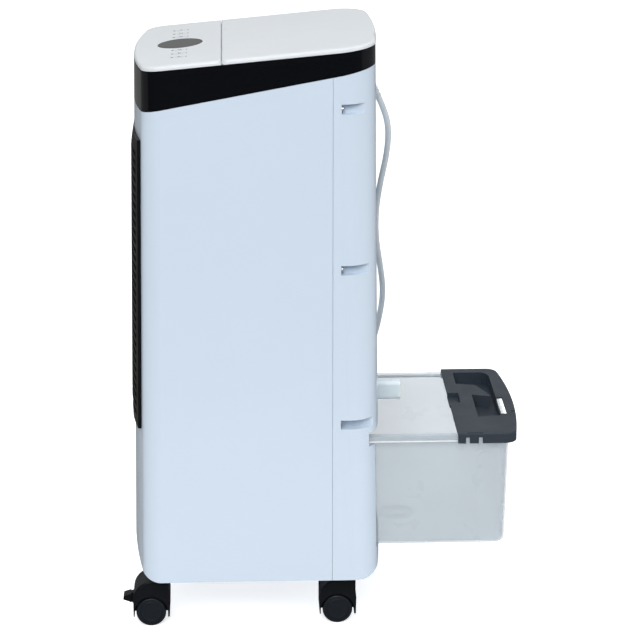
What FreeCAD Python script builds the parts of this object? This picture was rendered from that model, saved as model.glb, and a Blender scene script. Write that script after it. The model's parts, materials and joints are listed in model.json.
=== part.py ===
"""Portable evaporative air cooler on casters, with its water tank drawn out at the rear.

Frame: +Z up, origin on the floor under the middle of the body, front towards -Y, tank towards +Y.
Units are millimetres. Every driving size is a cell of the sheet "Sizes".
"""
import FreeCAD, Part
import math
import os
import re
from FreeCAD import Placement, Rotation, Vector

doc = FreeCAD.newDocument("air_cooler")

# ---------------------------------------------------------------- driving sizes
SIZES = [
    # casing
    ("half_width_low", 129.0), ("half_width_top", 124.0),
    ("front_low", -150.6), ("front_top", -138.2), ("rear_low", 153.4), ("rear_top", 145.0),
    ("front_bow", 516.0), ("rear_bow", 950.0), ("front_corner", 23.0),
    ("rear_corner_low", 30.0), ("rear_corner_top", 44.0),
    ("level_low", 70.0), ("level_top", 700.0), ("bottom", 67.0),
    ("front_heel", 35.0), ("rear_heel", 27.0), ("wall", 2.5), ("joint_gap", 0.4), ("seam", 91.0),
    # sloping head
    ("top_at_middle", 710.6), ("top_slope", 0.0929), ("rim", 5.0), ("rim_round", 3.2),
    ("shadow_gap", 0.7), ("band_at_middle", 669.9), ("band_slope", 0.184), ("lid_seam", -36.0),
    ("barrel", 2.5), ("hinge_pin", 1.2), ("hinge_at", 60.0), ("well_depth", 42.0), ("well_half", 108.0),
    ("window_radius", 26.7), ("control_row", -84.4), ("key_first", 39.0), ("key_pitch", 20.2),
    ("key_long", 12.0), ("key_wide", 9.0), ("key_gap", 0.4), ("key_travel", 0.8),
    # air path
    ("grille_half", 104.0), ("grille_low", 258.0), ("grille_high", 611.0), ("grille_bulge", 4.0),
    ("grille_blend", 27.0), ("slat_pitch", 10.6), ("slat_gap", 6.2), ("duct_half", 104.0),
    ("duct_front", -122.0), ("duct_rear", 45.0), ("duct_floor", 266.0), ("duct_roof", 606.0),
    ("plate", 3.0), ("vane_row", -110.0), ("vane_pitch", 32.0), ("vane_chord", 24.0), ("vane_thick", 2.0),
    ("vane_pin", 2.0), ("crank", 10.0), ("crank_pin", 1.5), ("run_clear", 0.05),
    ("fan_row", -35.0), ("fan_radius", 50.0), ("fan_shaft", 4.0), ("motor_radius", 36.0),
    ("pad_half", 94.0), ("pad_front", 66.0), ("pad_thick", 24.0), ("pad_low", 280.0), ("pad_high", 598.0),
    ("intake_half", 86.0), ("intake_low", 304.0), ("intake_high", 600.0),
    # tank
    ("tank_half", 107.0), ("tank_foot", 104.5), ("rim_half", 115.6), ("tank_front", 60.0), ("tank_rear", 306.0),
    ("tank_low", 102.0), ("tank_high", 247.0), ("tank_wall", 2.2), ("tank_corner", 14.0), ("flange", 2.6),
    ("cover_half", 117.5), ("cover_front", 242.0), ("cover_rear", 321.0), ("cover_top", 250.6),
    ("cover_skirt", 12.6), ("bay_half", 109.2), ("bay_head_half", 119.0),
    ("bay_head", 236.4), ("bay_high", 254.0),
    ("latch_height", 262.5), ("latch_wide", 13.0),
    # casters
    ("caster_x", 86.5), ("caster_front", -114.6), ("caster_rear", 113.8), ("trail", 15.4),
    ("wheel_radius", 18.3), ("wheel_wide", 15.0), ("hood_half", 22.0), ("web_half", 4.2),
    ("hood_top", 59.5), ("stem_radius", 5.0),
    # mains lead
    ("cord", 7.5), ("gland_x", -22.0), ("gland_y", 139.4), ("gland_z", 653.8), ("gland_long", 24.0),
    ("gland_tilt", 30.0), ("coil_x", -229.0), ("coil_y", 60.0), ("coil_radius", 38.5),
    ("screw_depth", 100.7), ("screw_pitch", 191.1), ("screw_low", 267.3), ("screw_x", 119.0),
]
sheet = doc.addObject("Spreadsheet::Sheet", "Sizes")
for row, (alias, value) in enumerate(SIZES, 1):
    sheet.set(f"A{row}", alias)
    sheet.set(f"B{row}", str(value))
    sheet.setAlias(f"B{row}", alias)
doc.recompute()
S = {alias: float(sheet.get(alias)) for alias, _ in SIZES}

subparts = []


# ---------------------------------------------------------------- document helpers
def formula(text):
    """An expression in which a bare alias stands for its cell."""
    return re.sub(r"[a-z][a-z_]*", lambda m: f"Sizes.{m[0]}" if m[0] in S else m[0], str(text))


def bind(piece, at=None, turn=None, **sizes):
    """Ties a primitive's sizes and place to the sheet."""
    for name, text in sizes.items():
        piece.setExpression(name, formula(text))
    if turn:
        piece.Placement = Placement(Vector(), turn)
    for name, text in zip("xyz", at or ()):
        piece.setExpression(f"Placement.Base.{name}", formula(text))
    return piece


def block(name, size, at, turn=None):
    piece = doc.addObject("Part::Box", name)
    return bind(piece, at, turn, Length=size[0], Width=size[1], Height=size[2])


ALONG = {"X": Rotation(Vector(0, 1, 0), 90), "Y": Rotation(Vector(1, 0, 0), -90), "Z": Rotation()}


def rod(name, radius, length, at, along="Z"):
    piece = doc.addObject("Part::Cylinder", name)
    return bind(piece, at, ALONG[along], Radius=radius, Height=length)


def join(name, pieces):
    whole = doc.addObject("Part::MultiFuse", name)
    whole.Shapes = pieces
    return whole


def cut(name, base, tools):
    """base less its tools."""
    whole = doc.addObject("Part::Cut", name)
    whole.Base = base
    whole.Tool = tools[0] if len(tools) == 1 else join(name + "_tools", tools)
    return whole


def formed(name, shape):
    """A piece whose surface no primitive or sketch gives."""
    piece = doc.addObject("Part::Feature", name)
    piece.Shape = shape
    return piece


def keep(piece, label):
    """Marks a finished sub-part and gives it its own name."""
    piece.Label = label
    subparts.append(piece)
    return piece


def mirrored(shape):
    return shape.mirror(Vector(), Vector(1, 0, 0))


def slab(x, y, z):
    """Plain solid box between the given pairs."""
    return Part.makeBox(x[1] - x[0], y[1] - y[0], z[1] - z[0], Vector(x[0], y[0], z[0]))


def fused(shapes):
    return shapes[0].multiFuse(shapes[1:]).removeSplitter()


# ---------------------------------------------------------------- casing outline
def level(low, top, height):
    """A size that changes evenly from the casing's low level to its top level."""
    share = (height - S["level_low"]) / (S["level_top"] - S["level_low"])
    return S[low] + (S[top] - S[low]) * share


def outline(half, front, rear, front_corner, rear_corner, height, front_bow, rear_bow):
    """Closed wire with a bowed front and rear, straight sides and tangent round corners."""
    def corner(edge, bow, radius, side):
        bow_y = edge - side * bow
        run = half - radius
        centre_y = bow_y + side * math.sqrt((bow - radius) ** 2 - run ** 2)
        reach = bow / (bow - radius)
        touch = Vector(run * reach, bow_y + (centre_y - bow_y) * reach, height)
        angle = math.atan2(touch.y - centre_y, touch.x - run) / 2
        middle = Vector(run + radius * math.cos(angle), centre_y + radius * math.sin(angle), height)
        return touch, middle, Vector(half, centre_y, height)

    def flip(point):
        return Vector(-point.x, point.y, point.z)

    f1, f2, f3 = corner(front, front_bow, front_corner, -1)
    r1, r2, r3 = corner(rear, rear_bow, rear_corner, 1)
    edges = [
        Part.Arc(flip(f1), Vector(0, front, height), f1), Part.Arc(f1, f2, f3), Part.LineSegment(f3, r3),
        Part.Arc(r3, r2, r1), Part.Arc(r1, Vector(0, rear, height), flip(r1)),
        Part.Arc(flip(r1), flip(r2), flip(r3)), Part.LineSegment(flip(r3), flip(f3)),
        Part.Arc(flip(f3), flip(f2), flip(f1)),
    ]
    return Part.Wire([edge.toShape() for edge in edges])


def casing_outline(height, inset):
    return outline(
        level("half_width_low", "half_width_top", height) - inset,
        level("front_low", "front_top", height) + inset,
        level("rear_low", "rear_top", height) - inset,
        S["front_corner"] - inset,
        level("rear_corner_low", "rear_corner_top", height) - inset,
        height, S["front_bow"] - inset, S["rear_bow"] - inset,
    )


REACH = 400.0  # half length of cutting prisms, past the casing on every side


def side_prism(points):
    """Prism along X through a closed outline of (y, z) points."""
    wire = Part.makePolygon([Vector(-REACH, y, z) for y, z in [*points, points[0]]])
    return Part.Face(wire).extrude(Vector(2 * REACH, 0, 0))


def under(at_middle, slope):
    """Everything below a plane that rises towards the rear."""
    return side_prism([(-REACH, -REACH), (REACH, -REACH), (REACH, at_middle + slope * REACH),
                       (-REACH, at_middle - slope * REACH)])


def heel_prism(inset):
    """Side view of the casing's foot: a flat bottom with a round heel at each end."""
    low, high = S["bottom"] + inset, 800.0
    front, rear = S["front_low"] + inset, S["rear_low"] - inset
    r_front, r_rear = S["front_heel"] - inset, S["rear_heel"] - inset
    side = math.sqrt(0.5)

    def at(y, z):
        return Vector(-REACH, y, z)

    edges = [
        Part.LineSegment(at(front, high), at(front, low + r_front)),
        Part.Arc(at(front, low + r_front), at(front + r_front * (1 - side), low + r_front * (1 - side)),
                 at(front + r_front, low)),
        Part.LineSegment(at(front + r_front, low), at(rear - r_rear, low)),
        Part.Arc(at(rear - r_rear, low), at(rear - r_rear * (1 - side), low + r_rear * (1 - side)),
                 at(rear, low + r_rear)),
        Part.LineSegment(at(rear, low + r_rear), at(rear, high)),
        Part.LineSegment(at(rear, high), at(front, high)),
    ]
    return Part.Face(Part.Wire([edge.toShape() for edge in edges])).extrude(Vector(2 * REACH, 0, 0))


CORES = {}


def core(inset):
    """The casing filled solid, its surface moved inwards by inset."""
    if inset not in CORES:
        wires = [casing_outline(height, inset) for height in (40.0, 780.0)]
        CORES[inset] = Part.makeLoft(wires, True, True).common(heel_prism(inset))
    return CORES[inset]


def shell(outer, inner):
    return core(outer).cut(core(inner))


BAND_PLANE = under(S["band_at_middle"], S["band_slope"])
TOP_PLANE = under(S["top_at_middle"] - S["rim"] - S["shadow_gap"], S["top_slope"])
TOP_PLACE = Placement(Vector(0, 0, S["top_at_middle"]),
                      Rotation(Vector(1, 0, 0), math.degrees(math.atan(S["top_slope"]))))


# ---------------------------------------------------------------- housings
def screw_points():
    return [(side * S["screw_x"], S["screw_low"] + S["screw_pitch"] * i) for i in range(3) for side in (-1, 1)]


def stem_holes(row):
    return [Part.makeCylinder(S["stem_radius"] + 0.3, 12, Vector(x, S[row], S["bottom"] - 5))
            for x in (-S["caster_x"], S["caster_x"])]


def front_housing():
    skin = shell(0, S["wall"])
    skin = skin.common(under(S["band_at_middle"] - S["joint_gap"], S["band_slope"]))
    skin = skin.common(slab((-REACH, REACH), (-REACH, S["seam"] - S["joint_gap"] / 2), (0, REACH * 3)))
    half = S["grille_half"] - 6
    mouth = slab((-half, half), (-REACH, -100), (S["grille_low"] + 8, S["grille_high"] - 5))
    bosses = []
    for x, z in screw_points():
        near, far = sorted((math.copysign(abs(x) - 5, x), math.copysign(abs(x) + 12, x)))
        bosses.append(slab((near, far), (72, S["seam"] - 0.2), (z - 5, z + 5)).common(core(1)))
    holes = [Part.makeCylinder(1.6, 40, Vector(x, 60, z), Vector(0, 1, 0)) for x, z in screw_points()]
    holes += stem_holes("caster_front")
    return keep(formed("FrontHousing", fused([skin.cut(mouth), *bosses]).cut(Part.makeCompound(holes))),
                "front_housing")


def rear_housing():
    keep_side = slab((-REACH, REACH), (S["seam"] + S["joint_gap"] / 2, REACH), (0, REACH * 3))
    skin = shell(0, S["wall"]).common(keep_side)
    above_deck = (76, 900)
    lip = shell(S["wall"] + 0.1, S["wall"] + 2)
    lip = lip.common(slab((-REACH, REACH), (S["seam"] - 6, S["seam"] + 9), above_deck))
    bridge = shell(1, S["wall"] + 2).common(slab((-REACH, REACH), (S["seam"] + 3, S["seam"] + 9), above_deck))
    pockets, cups = [], []
    for x, z in screw_points():
        floor = abs(x) - 6
        near, far = (floor, 200) if x > 0 else (-200, -floor)
        pockets.append(slab((near, far), (S["screw_depth"], 200), (z - 5.75, z + 5.75)))
        near, far = (floor - 2, 200) if x > 0 else (-200, 2 - floor)
        cups.append(slab((near, far), (S["screw_depth"] - 2.5, 200), (z - 7.75, z + 7.75)).common(core(0.2)))
    tilt = math.radians(S["gland_tilt"])
    down = Vector(0, math.sin(tilt), -math.cos(tilt))
    gland_hole = Part.makeCylinder(6.6, 60, Vector(S["gland_x"], S["gland_y"], S["gland_z"]) - down * 20, down)
    holes = [
        slab((-S["bay_half"], S["bay_half"]), (60, REACH), (S["tank_low"] - 2.5, S["bay_high"])),
        slab((-S["bay_head_half"], S["bay_head_half"]), (60, REACH), (S["bay_head"], S["bay_high"])),
        slab((-S["intake_half"], S["intake_half"]), (100, REACH), (S["intake_low"], S["intake_high"])),
        Part.makeCylinder(4.05, 60, Vector(0, 120, S["latch_height"]), Vector(0, 1, 0)), gland_hole,
        *[Part.makeCylinder(1.6, 40, Vector(x, 80, z), Vector(0, 1, 0)) for x, z in screw_points()],
        *stem_holes("caster_rear"),
    ]
    walls = fused([skin, lip, bridge, *cups]).common(under(S["band_at_middle"] - S["joint_gap"], S["band_slope"]))
    walls = walls.cut(Part.makeCompound(pockets))
    for hole in holes:
        walls = walls.cut(hole)
    bosses = [slab((x - 5.3, x + 5.3), (60, S["seam"]), (z - 5.3, z + 5.3)) for x, z in screw_points()]
    bosses += [slab((x + 5.2, x + 20) if x > 0 else (x - 20, x - 5.2), (60, S["seam"]), (z - 5.3, z + 5.3))
               for x, z in screw_points()]
    return keep(formed("RearHousing", walls.cut(Part.makeCompound(bosses))), "rear_housing")


def housing_screws():
    pieces = []
    for i, (x, z) in enumerate(screw_points()):
        head = rod(f"ScrewHead{i}", 3.1, 2.4, (x, "screw_depth", z), "Y")
        shank = rod(f"ScrewShank{i}", 1.5, 26, (x, "screw_depth - 25", z), "Y")
        slot = block(f"ScrewSlot{i}", (4.4, 1.4, 0.9), (x - 2.2, "screw_depth + 1.4", z - 0.45))
        pieces.append(cut(f"Screw{i}", join(f"ScrewRaw{i}", [head, shank]), [slot]))
    return keep(join("HousingScrews", pieces), "housing_screws")


def head_band():
    ring = shell(0, S["wall"]).common(TOP_PLANE).cut(BAND_PLANE)
    deep = under(S["band_at_middle"] - 7, S["band_slope"])
    high = under(S["band_at_middle"] + 8, S["band_slope"])
    mid = under(S["band_at_middle"] + 2, S["band_slope"])
    lip_in = S["wall"] + 4.6
    lip = shell(S["wall"] + 2.3, lip_in).common(high).cut(deep)
    bridge = shell(1, lip_in).common(high).cut(mid)
    return keep(formed("HeadBand", fused([ring, lip, bridge])), "head_band")


def base_tray():
    """Chassis in the casing's foot: a deck, four caster sockets and the tank's two runners."""
    top = 73.5
    deck = core(S["wall"] + 0.4).common(slab((-REACH, REACH), (-REACH, REACH), (0, top)))
    places = [(x, y) for x in (-S["caster_x"], S["caster_x"]) for y in (S["caster_front"], S["caster_rear"])]
    tubes = [Part.makeCylinder(9, 97 - top, Vector(x, y, top)) for x, y in places]
    runner = slab((58, 62), (-125, 140), (top, S["tank_low"] - 0.4))
    fence = slab((109.6, 112.6), (-60, 110), (top, 118))
    bores = [Part.makeCylinder(S["stem_radius"] + 0.05, 40, Vector(x, y, 60)) for x, y in places]
    whole = fused([deck, *tubes, runner, mirrored(runner), fence, mirrored(fence)])
    return keep(formed("BaseTray", whole.cut(Part.makeCompound(bores))), "base_tray")


# ---------------------------------------------------------------- sloping top
def top_plate(thick):
    """Flat plate with the casing's outline, its upper rim rounded; its top lies at z = 0."""
    tilt = math.cos(math.atan(S["top_slope"]))
    grow = 0.2
    wire = outline(
        S["half_width_top"] + grow, (level("front_low", "front_top", 696) - grow) / tilt,
        (level("rear_low", "rear_top", 720) + grow) / tilt, S["front_corner"],
        S["rear_corner_top"], -thick, S["front_bow"], S["rear_bow"],
    )
    plate = Part.Face(wire).extrude(Vector(0, 0, thick))
    rim = [e for e in plate.Edges if all(abs(v.Point.z) < 1e-6 for v in e.Vertexes)]
    hollow = wire.makeOffset2D(-2.4)
    hollow = Part.Face(hollow).extrude(Vector(0, 0, thick - 2.4))
    return plate.makeFillet(S["rim_round"], rim).cut(hollow), plate


def stadium(length, width, low, high, x, y):
    """Upright solid with half-round ends, length along X."""
    r = width / 2
    bar = slab((x - length / 2 + r, x + length / 2 - r), (y - r, y + r), (low, high))
    ends = [Part.makeCylinder(r, high - low, Vector(x + s * (length / 2 - r), y, low)) for s in (-1, 1)]
    return fused([bar, *ends])


def key_places():
    return [side * (S["key_first"] + S["key_pitch"] * i) for side in (-1, 1) for i in range(3)]


def control_panel():
    cover, plate = top_plate(S["rim"])
    seam = S["lid_seam"] - 0.2
    ahead = slab((-REACH, REACH), (-REACH, seam), (-50, 50))
    wall = plate.common(slab((-REACH, REACH), (seam - 2.4, seam), (-50, -0.6)))
    posts = [Part.makeCylinder(2.6, 8.1, Vector(x, y, -10.5)) for x in (-90, 90) for y in (-112, -60)]
    whole = fused([cover.common(ahead), wall, *posts])
    row = S["control_row"]
    whole = whole.cut(Part.makeCylinder(S["window_radius"] + 0.15, 20, Vector(0, row, -15)))
    grow = 2 * S["key_gap"]
    for x in key_places():
        whole = whole.cut(stadium(S["key_long"] + grow, S["key_wide"] + grow, -8, 8, x, row))
    piece = formed("ControlPanel", whole)
    piece.Placement = TOP_PLACE
    return keep(piece, "control_panel")


def top_lid():
    """Lid over the fill well; its front edge is a round barrel that turns beside the control panel."""
    cover, plate = top_plate(S["rim"])
    axis_y = S["lid_seam"] + 0.2 + S["barrel"]
    behind = slab((-REACH, REACH), (axis_y, REACH), (-50, 50))
    half = S["half_width_top"] - 0.8
    barrel = Part.makeCylinder(S["barrel"], 2 * half, Vector(-half, axis_y, -S["barrel"]), Vector(1, 0, 0))
    web = plate.common(slab((-REACH, REACH), (axis_y, axis_y + 3), (-S["rim"], -0.2)))
    lid = fused([cover.common(behind), barrel, web])
    for side in (-1, 1):
        x = side * S["hinge_at"]
        lid = lid.cut(slab((x - 2.1, x + 2.1), (-60, axis_y + 3.6), (-20, 20)))
    bore = Part.makeCylinder(S["hinge_pin"], 2 * half, Vector(-half, axis_y, -S["barrel"]), Vector(1, 0, 0))
    reach = S["hinge_at"] + 9
    bore = bore.common(fused([slab((-reach, 18 - reach), (-60, 0), (-9, 9)), slab((reach - 18, reach), (-60, 0), (-9, 9))]))
    piece = formed("TopLid", lid.cut(bore))
    piece.Placement = TOP_PLACE
    return keep(piece, "top_lid")


def lid_hinge_pins():
    axis_y = S["lid_seam"] + 0.2 + S["barrel"]
    pins = [Part.makeCylinder(S["hinge_pin"], 18, Vector(x - 9, axis_y, -S["barrel"]), Vector(1, 0, 0))
            for x in (-S["hinge_at"], S["hinge_at"])]
    piece = formed("LidHingePins", Part.makeCompound(pins))
    piece.Placement = TOP_PLACE
    return keep(piece, "lid_hinge_pins")


def fill_well():
    """Tub under the lid for water and ice, with a drain and the lid's two hinge ears."""
    half, deep = S["well_half"], S["well_depth"]
    front, rear = S["lid_seam"] + 6, 116.0

    def tub(inset, low, high):
        raw = slab((inset - half, half - inset), (front + inset, rear - inset), (low, high))
        upright = [e for e in raw.Edges if abs(e.Vertexes[0].Z - e.Vertexes[-1].Z) > 1]
        return raw.makeFillet(16 - inset, upright)

    rim_low, rim_high = -S["rim"] - 3, -S["rim"] - S["shadow_gap"]
    wire = outline(S["half_width_top"] - 3.4, front + 2, 138.5, 4, 38, rim_low, 4000, S["rear_bow"])
    rim = Part.Face(wire).extrude(Vector(0, 0, rim_high - rim_low))
    body = fused([rim, tub(0, -deep, rim_high)]).cut(tub(2, -deep + 2, 5))
    axis_y = S["lid_seam"] + 0.2 + S["barrel"]
    for side in (-1, 1):
        x = side * S["hinge_at"]
        ear = fused([slab((x - 1.5, x + 1.5), (axis_y - 2.1, axis_y + 3), (rim_low, -S["barrel"])),
                     Part.makeCylinder(2.1, 3, Vector(x - 1.5, axis_y, -S["barrel"]), Vector(1, 0, 0))])
        foot = slab((x - 1.5, x + 1.5), (axis_y - 2.1, front + 6), (rim_low, rim_high - 0.1))
        hole = Part.makeCylinder(S["hinge_pin"] + S["run_clear"], 3, Vector(x - 1.5, axis_y, -S["barrel"]), Vector(1, 0, 0))
        body = fused([body, ear, foot]).cut(hole)
    body = body.cut(Part.makeCylinder(6, 10, Vector(0, 96, -deep - 4)))
    piece = formed("FillWell", body)
    piece.Placement = TOP_PLACE
    return keep(piece, "fill_well")


def on_top(piece):
    """Moves a body drawn on the flat to the sloping top."""
    piece.Placement = TOP_PLACE
    return piece


def sketch_on(body, name, lift):
    plane = next(f for f in body.Origin.OriginFeatures if f.Role == "XY_Plane")
    sketch = body.newObject("Sketcher::SketchObject", name)
    sketch.AttachmentSupport = [(plane, "")]
    sketch.MapMode = "FlatFace"
    sketch.AttachmentOffset = Placement(Vector(0, 0, lift), Rotation())
    return sketch


def padded_body(name, draw, lift, length):
    """PartDesign body: one sketch and its pad. length may be a formula of the sheet."""
    body = doc.addObject("PartDesign::Body", name)
    sketch = sketch_on(body, name + "Sketch", lift)
    draw(sketch)
    pad = body.newObject("PartDesign::Pad", name + "Pad")
    pad.Profile = sketch
    pad.setExpression("Length", formula(length))
    return body, pad


def round_profile(radius, x, y):
    def draw(sketch):
        sketch.addGeometry(Part.Circle(Vector(x, y, 0), Vector(0, 0, 1), radius), False)
    return draw


def stadium_profile(length, width, x, y):
    def draw(sketch):
        r, half = width / 2, length / 2 - width / 2
        for s in (1, -1):
            start, end = Vector(x + s * half, y - s * r, 0), Vector(x + s * half, y + s * r, 0)
            sketch.addGeometry(Part.Arc(start, Vector(x + s * (half + r), y, 0), end), False)
            sketch.addGeometry(Part.LineSegment(end, Vector(x - s * half, y + s * r, 0)), False)
    return draw


def display_window():
    body, pad = padded_body("DisplayWindow", round_profile(S["window_radius"], 0, S["control_row"]), -3.2, 3.4)
    doc.recompute()
    rim = [f"Edge{i}" for i, e in enumerate(pad.Shape.Edges, 1) if e.Closed and e.CenterOfMass.z > 0]
    bevel = body.newObject("PartDesign::Chamfer", "DisplayWindowBevel")
    bevel.Base = (pad, rim)
    bevel.Size = 0.5
    body.Tip = bevel
    return keep(on_top(body), "display_window")


KEY_NAMES = ["timer_key", "mode_key", "swing_key", "power_key", "speed_key", "cool_key"]


def keys():
    for label, x in zip(KEY_NAMES, key_places()):
        name = "".join(word.title() for word in label.split("_"))
        cap, _ = padded_body(name + "Cap", stadium_profile(S["key_long"], S["key_wide"], x, S["control_row"]), -4.2, 4.5)
        flange, _ = padded_body(name + "Flange", stadium_profile(S["key_long"] + 3, S["key_wide"] + 3, x, S["control_row"]),
                                -4.2, 1.3)
        stem, _ = padded_body(name + "Stem", round_profile(1.5, x, S["control_row"]), -8.6, 5)
        keep(on_top(join(name, [cap, flange, stem])), label)


def control_board():
    """Display and key board on the panel's posts, with a switch under each key."""
    row = S["control_row"]
    board = slab((-97, 97), (row - 33, row + 31), (-12.2, -10.6))
    switches = [slab((x - 3, x + 3), (row - 3, row + 3), (-10.6, -9.7)) for x in key_places()]
    display = slab((-19, 19), (row - 13, row + 13), (-10.6, -4.6))
    piece = formed("ControlBoard", fused([board, display, *switches]))
    return keep(on_top(piece), "control_board")


def power_board():
    board = block("BoardPlate", (140, 42, 1.6), (-70, -126, 640))
    core_ = block("BoardChoke", (26, 22, 18), (-55, -117, 641.6))
    tall = [rod(f"BoardCapacitor{i}", 6, 20, (-14 + 16 * i, -106, 641.6)) for i in range(2)]
    relay = [block(f"BoardRelay{i}", (12, 18, 14), (22 + 16 * i, -116, 641.6)) for i in range(2)]
    legs = [rod(f"BoardLeg{i}", 3, 34, (-64 if i % 2 else 64, -121 if i < 2 else -89, 606)) for i in range(4)]
    return keep(join("PowerBoard", [board, core_, *tall, *relay, *legs]), "power_board")


# ---------------------------------------------------------------- air path
def outlet_grille():
    """Black front grille: it stands proud of the casing and dies into it at both ends."""
    low, high, bulge = S["grille_low"], S["grille_high"], S["grille_bulge"]

    def front(z, out):
        return level("front_low", "front_top", z) - out

    blend = S["grille_blend"]
    ends = side_prism([(-90, high + 30), (front(high, 0.6), high), (front(high - blend, bulge), high - blend),
                       (front(low + blend, bulge), low + blend), (front(low, 0.6), low), (-90, low - 30)])
    half = S["grille_half"]
    face = shell(-bulge, -0.1).common(slab((-half, half), (-REACH, -100), (low, high)))
    plug = shell(-0.5, 4.5).common(slab((0.5 + 6 - half, half - 6.5), (-REACH, -100), (low + 8.5, high - 5.5)))
    body = face.fuse(plug).common(ends)
    gaps, z = [], low + 12
    while z + S["slat_gap"] < high - 9:
        gaps.append(slab((12 - half, half - 12), (-REACH, -90), (z, z + S["slat_gap"])))
        z += S["slat_pitch"]
    ribs = [slab((x - 1.6, x + 1.6), (-REACH, -100), (low + 9, high - 9)) for x in (-46, 0, 46)]
    ribs = shell(1.5, 4.5).common(Part.makeCompound(ribs))
    return keep(formed("OutletGrille", body.cut(Part.makeCompound(gaps)).fuse(ribs)), "outlet_grille")


def vane_places():
    return [S["vane_pitch"] * (i - 2.5) for i in range(6)]


def blower_housing():
    """Cross-flow fan case: a floor, a roof, two cheeks at the outlet and a scroll round the wheel."""
    half, front, rear = S["duct_half"], S["duct_front"], S["duct_rear"]
    low, high, t = S["duct_floor"], S["duct_roof"], S["plate"]
    floor = slab((-half, half), (front, rear), (low, low + t))
    roof = slab((-half, half), (front, rear), (high - t, high))
    scroll_out, scroll_in = S["fan_radius"] + 14, S["fan_radius"] + 11.6
    centre = Vector(0, S["fan_row"], low)
    ring = Part.makeCylinder(scroll_out, high - low, centre).cut(Part.makeCylinder(scroll_in, high - low, centre))
    wedge = Part.Face(Part.makePolygon([Vector(0, S["fan_row"], low), Vector(-90, -70, low), Vector(-90, 60, low),
                                        Vector(-18, 60, low), Vector(0, S["fan_row"], low)]))
    scroll = ring.common(wedge.extrude(Vector(0, 0, high - low)))
    cheeks = [slab((half - 2.4, half), (front, -54), (low, high)), slab((-half, 2.4 - half), (front, -50), (low, high))]
    back_left = slab((-half, -scroll_in * 0.93), (-54, -51.6), (low, high))
    tongue = slab((62, half), (-56, -53.6), (low, high))
    case = fused([floor, roof, scroll, *cheeks, back_left, tongue])
    pins = [Part.makeCylinder(S["vane_pin"] + S["run_clear"], 400, Vector(x, S["vane_row"], low - 20)) for x in vane_places()]
    fan_low = Part.makeCylinder(3 + S["run_clear"], 30, Vector(0, S["fan_row"], low - 20))
    fan_high = Part.makeCylinder(S["fan_shaft"] + 1.2, 30, Vector(0, S["fan_row"], high - 20))
    return keep(formed("BlowerHousing", case.cut(Part.makeCompound([*pins, fan_low, fan_high]))), "blower_housing")


def swing_vanes():
    """Six upright vanes on pins; each carries a crank pin for the link bar."""
    low, high = S["duct_floor"] + S["plate"] + 1, S["duct_roof"] - S["plate"] - 7
    for i, x in enumerate(vane_places(), 1):
        blade = block(f"VaneBlade{i}", ("vane_thick", "vane_chord", high - low),
                      (f"{x} - vane_thick / 2", "vane_row - vane_chord / 2", low))
        pivots = rod(f"VanePivot{i}", "vane_pin", high - low + 14, (x, "vane_row", low - 4))
        crank = rod(f"VaneCrank{i}", "crank_pin", 6, (x, "vane_row + crank", high))
        keep(join(f"SwingVane{i}", [blade, pivots, crank]), f"swing_vane_{i}")


def vane_link():
    high = S["duct_roof"] - S["plate"] - 7
    bar = block("LinkBar", ("5 * vane_pitch + 8", 6, 3), ("-2.5 * vane_pitch - 4", "vane_row + crank - 3", high + 1.5))
    holes = [rod(f"LinkHole{i}", "crank_pin + run_clear", 9, (x, "vane_row + crank", high - 2))
             for i, x in enumerate(vane_places())]
    return keep(cut("VaneLink", bar, holes), "vane_link_bar")


def swing_motor():
    x = vane_places()[0]
    can = rod("SwingMotorCan", 13, 16, (x, "vane_row", "duct_roof + 1.4"))
    lugs = block("SwingMotorLugs", (38, 7, 1.4), (x - 19, "vane_row - 3.5", "duct_roof"))
    relief = rod("SwingMotorRelief", 2.6, 3, (x, "vane_row", "duct_roof - 0.2"))
    return keep(cut("SwingMotor", join("SwingMotorRaw", [can, lugs]), [relief]), "swing_motor")


def blower_wheel():
    """Cross-flow wheel: two end discs, two middle rings and a cage of slanted blades."""
    low, high = S["duct_floor"] + S["plate"] + 4, S["duct_roof"] - S["plate"] - 5
    r, centre = S["fan_radius"], Vector(0, S["fan_row"], 0)
    discs = [Part.makeCylinder(r, 2.5, centre + Vector(0, 0, z)) for z in (low, high - 2.5)]
    third = (high - low) / 3
    ring = Part.makeCylinder(r, 2.5).cut(Part.makeCylinder(r - 13, 2.5))
    rings = [ring.translated(centre + Vector(0, 0, low + third * i)) for i in (1, 2)]
    blades = []
    for i in range(24):
        blade = Part.makeBox(11, 1.4, high - low, Vector(r - 12, -0.7, low))
        blade.rotate(Vector(r - 6, 0, 0), Vector(0, 0, 1), 28)
        blade.rotate(Vector(), Vector(0, 0, 1), 15 * i)
        blades.append(blade.translated(centre))
    shaft = Part.makeCylinder(S["fan_shaft"], 24, centre + Vector(0, 0, high - 2))
    stub = Part.makeCylinder(3, 10, centre + Vector(0, 0, low - 8))
    return keep(formed("BlowerWheel", fused([*discs, *rings, *blades, shaft, stub])), "blower_wheel")


def blower_motor():
    can = rod("MotorCan", "motor_radius", 32, (0, "fan_row", "duct_roof + 4"))
    flange = rod("MotorFlange", "motor_radius + 6", 3, (0, "fan_row", "duct_roof + 1"))
    feet = [rod(f"MotorFoot{i}", 4, 1, (32 * math.cos(a), S["fan_row"] + 32 * math.sin(a), "duct_roof"))
            for i, a in enumerate(math.radians(45 + 90 * k) for k in range(4))]
    boss = rod("MotorBoss", 14, 6, (0, "fan_row", "duct_roof + 36"))
    bore = rod("MotorBore", "fan_shaft + run_clear", 30, (0, "fan_row", "duct_roof - 1"))
    return keep(cut("BlowerMotor", join("MotorRaw", [can, flange, boss, *feet]), [bore]), "blower_motor")


def cooling_pad():
    return keep(block("CoolingPad", ("2 * pad_half", "pad_thick", "pad_high - pad_low"),
                      ("-pad_half", "pad_front", "pad_low")), "cooling_pad")


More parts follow.
